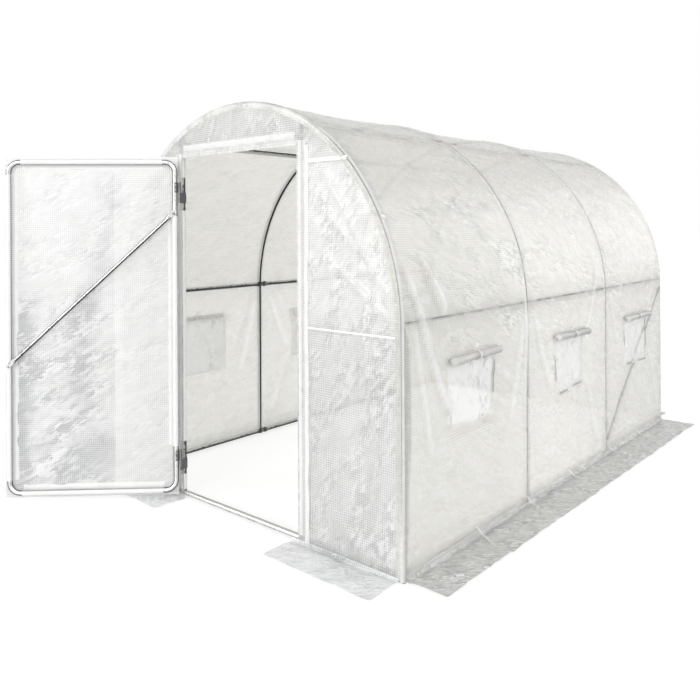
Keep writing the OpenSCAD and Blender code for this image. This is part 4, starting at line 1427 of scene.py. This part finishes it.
def leaf_profile(margin):
    """Profile round the leaf's tube, and its layers: clear on the flanks, white where it is sewn."""
    hold = [(SLEEVE_LAP, -0.0126, 2.4), (SLEEVE_LAP * 0.72, -0.0122, 2.4)]
    hold += [(0.022, -0.0120, 0.7), (0.018, -0.0118, 0.6)]
    for a, b in arc(sleeve_r, -38, 215 if margin else 190, 18):
        hold.append((a, b, 2.2 if b > 0.0088 else 0.06))
    if margin:
        hold += [(-0.018, -0.0119, 0.8), (-SLEEVE_EDGE, -0.0126, 1.6)]
    return np.array(hold)


def leaf_sleeve(name, start, end, inward, margin, flip):
    path = np.array([on_leaf(a, 0.0, z) for a, z in between(start, end)])
    profile = leaf_profile(margin)
    # The leaf's sleeves are painted white, as painted light
    return swept(name, path, inward, leaf_b, profile[:, :2], profile[:, 2], band_film, flip, tone=0.9)


BEND = 0.0525
near_a, far_a = STILE_A + BEND + 0.01, FREE_A - BEND - 0.01
free_low, free_high = low_z + BEND + 0.012, top_z - BEND - 0.012
leaf_sleeves = [
    leaf_sleeve("leaf_top_sleeve", (near_a, top_z), (far_a, top_z), (0, 0, -1), True, False),
    leaf_sleeve("leaf_low_sleeve", (near_a, low_z), (far_a, low_z), UP, True, True),
    leaf_sleeve("leaf_free_sleeve", (FREE_A, free_low), (FREE_A, free_high), -leaf_a, True, True),
    leaf_sleeve("leaf_hinge_sleeve", (STILE_A, 0.275), (STILE_A, 1.46), leaf_a, False, False),
]
for piece in leaf_sleeves:
    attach(piece, "door_leaf")
tunnel_sheet(leaf_sheet,
             stands_for=("door_film",), body="door_leaf")

# %% [markdown]
# ## Ties
# A tape goes once round each roll, holds it in the middle and ends at a button on the film.
# Short tapes leave the foot of the side walls and lie loose on the skirts.

# %% Tie tapes on the rolls and the skirts
TIE_W, TAPE_W = 0.016, 0.012


def roll_tie(name, side, window, place):
    """One tape from its button down over the roll, under it, back up behind it, with its tail standing up."""
    lift = float(cover_lift(np.array([wall_s(roll_z + 0.05, 1)]), np.array([window_y[window]]))[0])
    middle_z = roll_z + ROLL_RISE[place]
    wall_x = film_r + 0.0020 + lift
    turn = np.radians(np.linspace(125, -215, 24))
    hold_r = 0.88 * roll_r + 0.0022
    ring_x = np.maximum(roll_x + lift + hold_r * np.cos(turn), wall_x)
    ring_z = middle_z + 0.94 * hold_r * np.sin(turn)
    x = np.concatenate([[wall_x + 0.010, wall_x + 0.014, wall_x + 0.012], ring_x])
    z = np.concatenate([middle_z + np.array([0.043, 0.036, 0.029]), ring_z])
    path = np.stack([side * x, np.full(len(x), window_y[window] + 0.006 * side), z], -1)
    path[:, 1] += np.concatenate([[0.014, 0.008, 0.003], np.zeros(len(turn))])
    profile = [(-TIE_W / 2, 0.0), (0.0, 0.0006), (TIE_W / 2, 0.0)]
    tie = swept(name, path, REAR, (side, 0, 0), profile, 1.6, tape_film, side > 0, tone=-0.1)
    tunnel_sheet(tie)
    return path[0]


def skirt_tape(name, side, y, length, swing):
    """A short tape that leaves the foot of the wall and lies on the skirt."""
    t = np.linspace(0, 1, 14)
    x = film_r + 0.004 + t * length
    z = 0.030 * np.exp(-((t / 0.16) ** 2)) + 0.0215 + 0.003 * np.sin(7 * t)
    path = np.stack([side * x, y + swing * t ** 2 + 0.006 * np.sin(5 * t), z], -1)
    profile = [(-TAPE_W / 2, 0.0), (0.0, 0.0005), (TAPE_W / 2, 0.0)]
    tape = swept(name, path, REAR, UP, profile, 1.0, tape_film, side < 0)
    tunnel_sheet(tape)


# Where each tape starts along the tunnel, how far it reaches out and how far its end swings
SKIRT_TAPES = [(-0.80, 0.13, -0.05), (hoop_y[1] - 0.02, 0.08, -0.015), (0.18, 0.10, 0.03),
               (hoop_y[2] + 0.02, 0.08, 0.02), (1.22, 0.11, -0.03)]
buttons = []
for side, word in SIDES:
    for window, place in enumerate(BAYS):
        top = roll_tie(f"{word}_roll_tie_{place}", side, window, place)
        buttons.append((top + np.array([side * 0.001, 0, 0]), (side, 0, 0)))
    for number, (y, length, swing) in enumerate(SKIRT_TAPES):
        skirt_tape(f"{word}_skirt_tape_{number + 1}", side, y, length, swing)
print("buttons:", len(buttons))

# %% [markdown]
# ## Fasteners and seams
# Bolts, rivets, buttons and stitches are all alike, so Geometry Nodes sets them out: a mesh of
# points carries the places and the directions, a graph puts the same small shape on each, and
# the result is kept as a plain mesh. Stitches follow a line of edges instead of points.

# %% Geometry graphs
def geo_tree(name, inputs):
    """An empty geometry graph with named inputs; returns the tree, its inputs and its output."""
    tree = bpy.data.node_groups.new(name, "GeometryNodeTree")
    tree.interface.new_socket(name="Geometry", in_out="INPUT", socket_type="NodeSocketGeometry")
    for label, kind in inputs:
        tree.interface.new_socket(name=label, in_out="INPUT", socket_type=kind)
    tree.interface.new_socket(name="Geometry", in_out="OUTPUT", socket_type="NodeSocketGeometry")
    return tree, add(tree, "NodeGroupInput").outputs, add(tree, "NodeGroupOutput").inputs


def scaled(tree, size, x, y, z):
    made = add(tree, "ShaderNodeCombineXYZ")
    for axis, share in zip("XYZ", (x, y, z)):
        feed(tree, made.inputs[axis], calc(tree, "MULTIPLY", size, share))
    return made.outputs[0]


def end_tree(tree, given, gives, instances):
    real = add(tree, "GeometryNodeRealizeInstances")
    feed(tree, real.inputs["Geometry"], instances)
    painted = add(tree, "GeometryNodeSetMaterial")
    feed(tree, painted.inputs["Geometry"], real.outputs["Geometry"])
    feed(tree, painted.inputs["Material"], given["Finish"])
    feed(tree, gives["Geometry"], painted.outputs["Geometry"])


def on_points(tree, given, shape):
    """Puts a shape on every point, its z axis along the point's own direction."""
    facing = add(tree, "GeometryNodeInputNamedAttribute", data_type="FLOAT_VECTOR")
    facing.inputs["Name"].default_value = "facing"
    turn = add(tree, "FunctionNodeAlignRotationToVector", axis="Z")
    feed(tree, turn.inputs["Vector"], facing.outputs["Attribute"])
    placed = add(tree, "GeometryNodeInstanceOnPoints")
    feed(tree, placed.inputs["Points"], given["Geometry"])
    feed(tree, placed.inputs["Instance"], shape)
    feed(tree, placed.inputs["Rotation"], turn.outputs[0])
    return placed.outputs["Instances"]


print("a graph ends as a plain mesh with its finish")

# %% Graphs for nuts, round heads and stitches
HEAD_INPUTS = [("Size", "NodeSocketFloat"), ("Finish", "NodeSocketMaterial")]
STITCH_INPUTS = [("Step", "NodeSocketFloat"), ("Thread", "NodeSocketFloat"), ("Finish", "NodeSocketMaterial")]
# Washer, nut and bolt end: sides, then radius, depth and height as shares of the size
NUT_RODS = ((18, 1.45, 0.22, 0.11), (6, 1.12, 0.80, 0.62), (12, 0.58, 0.50, 1.20))


def nut_tree():
    """Washer, six-sided nut and the end of the bolt."""
    tree, given, gives = geo_tree("nut on bolt", HEAD_INPUTS)
    joined = add(tree, "GeometryNodeJoinGeometry")
    for sides, radius, depth, middle_z in NUT_RODS:
        rod = add(tree, "GeometryNodeMeshCylinder")
        rod.inputs["Vertices"].default_value = sides
        feed(tree, rod.inputs["Radius"], calc(tree, "MULTIPLY", given["Size"], radius))
        feed(tree, rod.inputs["Depth"], calc(tree, "MULTIPLY", given["Size"], depth))
        moved = add(tree, "GeometryNodeTransform")
        feed(tree, moved.inputs["Geometry"], rod.outputs["Mesh"])
        feed(tree, moved.inputs["Translation"], scaled(tree, given["Size"], 0, 0, middle_z))
        tree.links.new(moved.outputs["Geometry"], joined.inputs[0])
    end_tree(tree, given, gives, on_points(tree, given, joined.outputs[0]))
    return tree


def dome_tree():
    """A low round head, for rivets and buttons."""
    tree, given, gives = geo_tree("round head", HEAD_INPUTS)
    ball = add(tree, "GeometryNodeMeshUVSphere")
    ball.inputs["Segments"].default_value = 16
    ball.inputs["Rings"].default_value = 10
    moved = add(tree, "GeometryNodeTransform")
    feed(tree, moved.inputs["Geometry"], ball.outputs["Mesh"])
    feed(tree, moved.inputs["Scale"], scaled(tree, given["Size"], 1, 1, 0.5))
    smooth = add(tree, "GeometryNodeSetShadeSmooth")
    feed(tree, smooth.inputs["Geometry"], moved.outputs["Geometry"])
    end_tree(tree, given, gives, on_points(tree, given, smooth.outputs[0]))
    return tree


def stitch_tree():
    """Short thread pieces at even steps along a line."""
    tree, given, gives = geo_tree("stitch run", STITCH_INPUTS)
    line = add(tree, "GeometryNodeMeshToCurve")
    feed(tree, line.inputs["Mesh"], given["Geometry"])
    dots = add(tree, "GeometryNodeCurveToPoints", mode="LENGTH")
    feed(tree, dots.inputs["Curve"], line.outputs["Curve"])
    feed(tree, dots.inputs["Length"], given["Step"])
    thread = add(tree, "GeometryNodeMeshCylinder")
    thread.inputs["Vertices"].default_value = 5
    feed(tree, thread.inputs["Radius"], given["Thread"])
    feed(tree, thread.inputs["Depth"], calc(tree, "MULTIPLY", given["Step"], 0.62))
    placed = add(tree, "GeometryNodeInstanceOnPoints")
    feed(tree, placed.inputs["Points"], dots.outputs["Points"])
    feed(tree, placed.inputs["Instance"], thread.outputs["Mesh"])
    feed(tree, placed.inputs["Rotation"], dots.outputs["Rotation"])
    end_tree(tree, given, gives, placed.outputs["Instances"])
    return tree


nuts, domes, stitches = nut_tree(), dome_tree(), stitch_tree()
print("graphs:", nuts.name, domes.name, stitches.name)

# %% From places to pieces
def grown(name, source, tree, body, slot, **values):
    """Runs a graph on a mesh, keeps the result as a plain mesh object and rides it on its body."""
    holder = bpy.data.objects.new(name + "_places", source)
    scene.collection.objects.link(holder)
    modifier = holder.modifiers.new("graph", "NODES")
    modifier.node_group = tree
    for socket in tree.interface.items_tree:
        if socket.in_out == "INPUT" and socket.name in values:
            modifier[socket.identifier] = values[socket.name]
    mesh = bpy.data.meshes.new_from_object(holder.evaluated_get(bpy.context.evaluated_depsgraph_get()))
    bpy.data.objects.remove(holder)
    mesh.name = name
    piece = bpy.data.objects.new(name, mesh)
    scene.collection.objects.link(piece)
    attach(piece, body)
    print(f"{name}: {len(mesh.polygons)} faces")
    return piece


def places_mesh(name, places):
    """Loose points from pairs of a place and the direction that it faces."""
    mesh = bpy.data.meshes.new(name)
    mesh.from_pydata([tuple(place) for place, _ in places], [], [])
    facing = mesh.attributes.new("facing", "FLOAT_VECTOR", "POINT")
    facing.data.foreach_set("vector", np.array([d for _, d in places], dtype=np.float32).ravel())
    return mesh


def lines_mesh(name, lines):
    """Edges along every line of points."""
    points, edges = [], []
    for line in lines:
        edges += [(len(points) + k, len(points) + k + 1) for k in range(len(line) - 1)]
        points += [tuple(p) for p in line]
    mesh = bpy.data.meshes.new(name)
    mesh.from_pydata(points, edges, [])
    return mesh


def set_out(name, places, tree, body, slot, size, finish):
    """Puts the same head on every place."""
    return grown(name, places_mesh(name, places), tree, body, slot, Size=size, Finish=finish)


print("pieces are grown from points or lines")

# %% Finish of the buttons and the thread
def spun(name, low, high, scale):
    """A plain plastic or yarn whose colour and height vary a little from place to place."""
    made, tree, shader = new_material(name, Roughness=0.6)
    grain = add(tree, "ShaderNodeTexNoise")
    feed(tree, grain.inputs["Vector"], add(tree, "ShaderNodeTexCoord").outputs["Object"])
    grain.inputs["Scale"].default_value = scale
    feed(tree, shader["Base Color"], tint(tree, grain.outputs["Fac"], (*low, 1), (*high, 1)))
    bump = add(tree, "ShaderNodeBump")
    bump.inputs["Distance"].default_value = 0.1 / scale
    feed(tree, bump.inputs["Height"], grain.outputs["Fac"])
    feed(tree, shader["Normal"], bump.outputs[0])
    return made


button_white = spun("button plastic", (0.86, 0.86, 0.85), (0.93, 0.93, 0.92), 240.0)
thread = spun("thread", (0.62, 0.62, 0.60), (0.76, 0.76, 0.74), 900.0)
print("finishes:", button_white.name, "and", thread.name)

# %% Bolts of the frame
TAB = 0.0035
inner_r = hoop_r - tube_r
joints = []
for number, y in enumerate(hoop_y):
    seat = inner_r - TAB * (2 if number in (1, 2) else 1)
    for degrees in PURLIN_DEGREES:
        c, n = math.cos(math.radians(degrees)), math.sin(math.radians(degrees))
        joints.append(((seat * c, y, leg_h + seat * n), (-c, 0, -n)))
    joints += [((side * seat, y, BASE_RAIL_Z), (-side, 0, 0)) for side in (-1, 1)]
for side in (-1, 1):
    for y, z in (BRACE_LOW, BRACE_HIGH):
        joints.append(((side * (inner_r - TAB), y, z), (-side, 0, 0)))
set_out("frame_bolts", joints, nuts, "tunnel", "galvanised_tube", 0.0050, bolt_zinc)

# %% Rivets and buttons
HINGE_H, HIGH_PARTING = 0.052, 1.5805
RIVET_RISES = (0.013, 0.039)
LEAF_BRACE_DROP, LEAF_BRACE_RISE = 0.270, 0.665
RIVET, BUTTON = 0.0045, 0.0085
saddle_r = tube_r + 0.0032
eye_low, eye_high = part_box("door_hinge_eyes")
pin_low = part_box("post_hinge_pins")[0]
# On the leaf the rivets sit a little beside the tube's top; on the post they face into the doorway
RIVET_ASIDE = 0.0070
rivet_b = math.sqrt(saddle_r ** 2 - RIVET_ASIDE ** 2)
post_facing = (0.94, 0.34, 0)
rivet_x, rivet_y = -post_x + saddle_r * post_facing[0], front_y + saddle_r * post_facing[1]
leaf_rivets = [(on_leaf(STILE_A - RIVET_ASIDE, rivet_b, base + rise), -0.44 * leaf_a + 0.90 * leaf_b)
               for base in (eye_low.z, eye_high.z - HINGE_H) for rise in RIVET_RISES]
post_rivets = [((rivet_x, rivet_y, base + rise), post_facing)
               for base in (pin_low.z, HIGH_PARTING - HINGE_H) for rise in RIVET_RISES]
for z, a in ((bow_high - LEAF_BRACE_DROP, STILE_A), (bow_low + LEAF_BRACE_RISE, FREE_A)):
    leaf_rivets.append((on_leaf(a, tube_r + TAB, z), leaf_b))
set_out("leaf_rivets", leaf_rivets, domes, "door_leaf", "hinge_steel", RIVET, bolt_zinc)
set_out("post_rivets", post_rivets, domes, "tunnel", "hinge_steel", RIVET, bolt_zinc)
knob_r = film_r + 0.004
for t in (math.radians(26), math.radians(154)):
    c, n = math.cos(t), math.sin(t)
    buttons.append(((knob_r * c, front_y - 0.006, leg_h + knob_r * n), (c, 0, n)))
set_out("tie_buttons", buttons, domes, "tunnel", "cover_film", BUTTON, button_white)

# %% Stitches
STITCH_STEP, THREAD_R = 0.011, 0.0006
hem_line = []
for y_end in (hoop_y[0] - turn_r - 0.0012, hoop_y[3] + turn_r + 0.0012):
    rim = spaced(0.02, around - 0.02, 0.03)
    x, z = section(rim, np.full(len(rim), hoop_r - 0.75 * HEM_W))
    hem_line.append(np.stack([x, np.full(len(rim), y_end), z], -1))
sewn_y = front_y - gable_off - 0.0016
for z in (lintel_line - 0.0125, lintel_line + 0.0125):
    hem_line.append(between((-lintel_half, sewn_y, z), (lintel_half, sewn_y, z)))
for side in (-1, 1):
    for x in (side * strip_x - 0.0065, side * strip_x + 0.0065):
        hem_line.append(between((x, sewn_y - THREAD_R, 0.02), (x, sewn_y - THREAD_R, 1.75)))
grown("tunnel_stitches", lines_mesh("tunnel_stitches", hem_line), stitches, "tunnel", "cover_film",
      Step=STITCH_STEP, Thread=THREAD_R, Finish=thread)
# On the leaf: the sewn lines' depth, their distance from the tubes, and how far they stop short of a corner
SEWN_B, LAP, STOP = -0.0114, SLEEVE_LAP - 0.004, 0.07
leaf_line = [
    [on_leaf(a, SEWN_B, z) for a in spaced(STILE_A + STOP, FREE_A - STOP, 0.03)]
    for z in (top_z - LAP, low_z + LAP)
]
leaf_line.append([on_leaf(FREE_A - LAP, SEWN_B, z) for z in spaced(low_z + STOP, top_z - STOP, 0.03)])
leaf_line.append([on_leaf(STILE_A + LAP, SEWN_B, z) for z in spaced(0.28, 1.455, 0.03)])
grown("leaf_stitches", lines_mesh("leaf_stitches", leaf_line), stitches, "door_leaf", "cover_film",
      Step=STITCH_STEP, Thread=THREAD_R, Finish=thread)
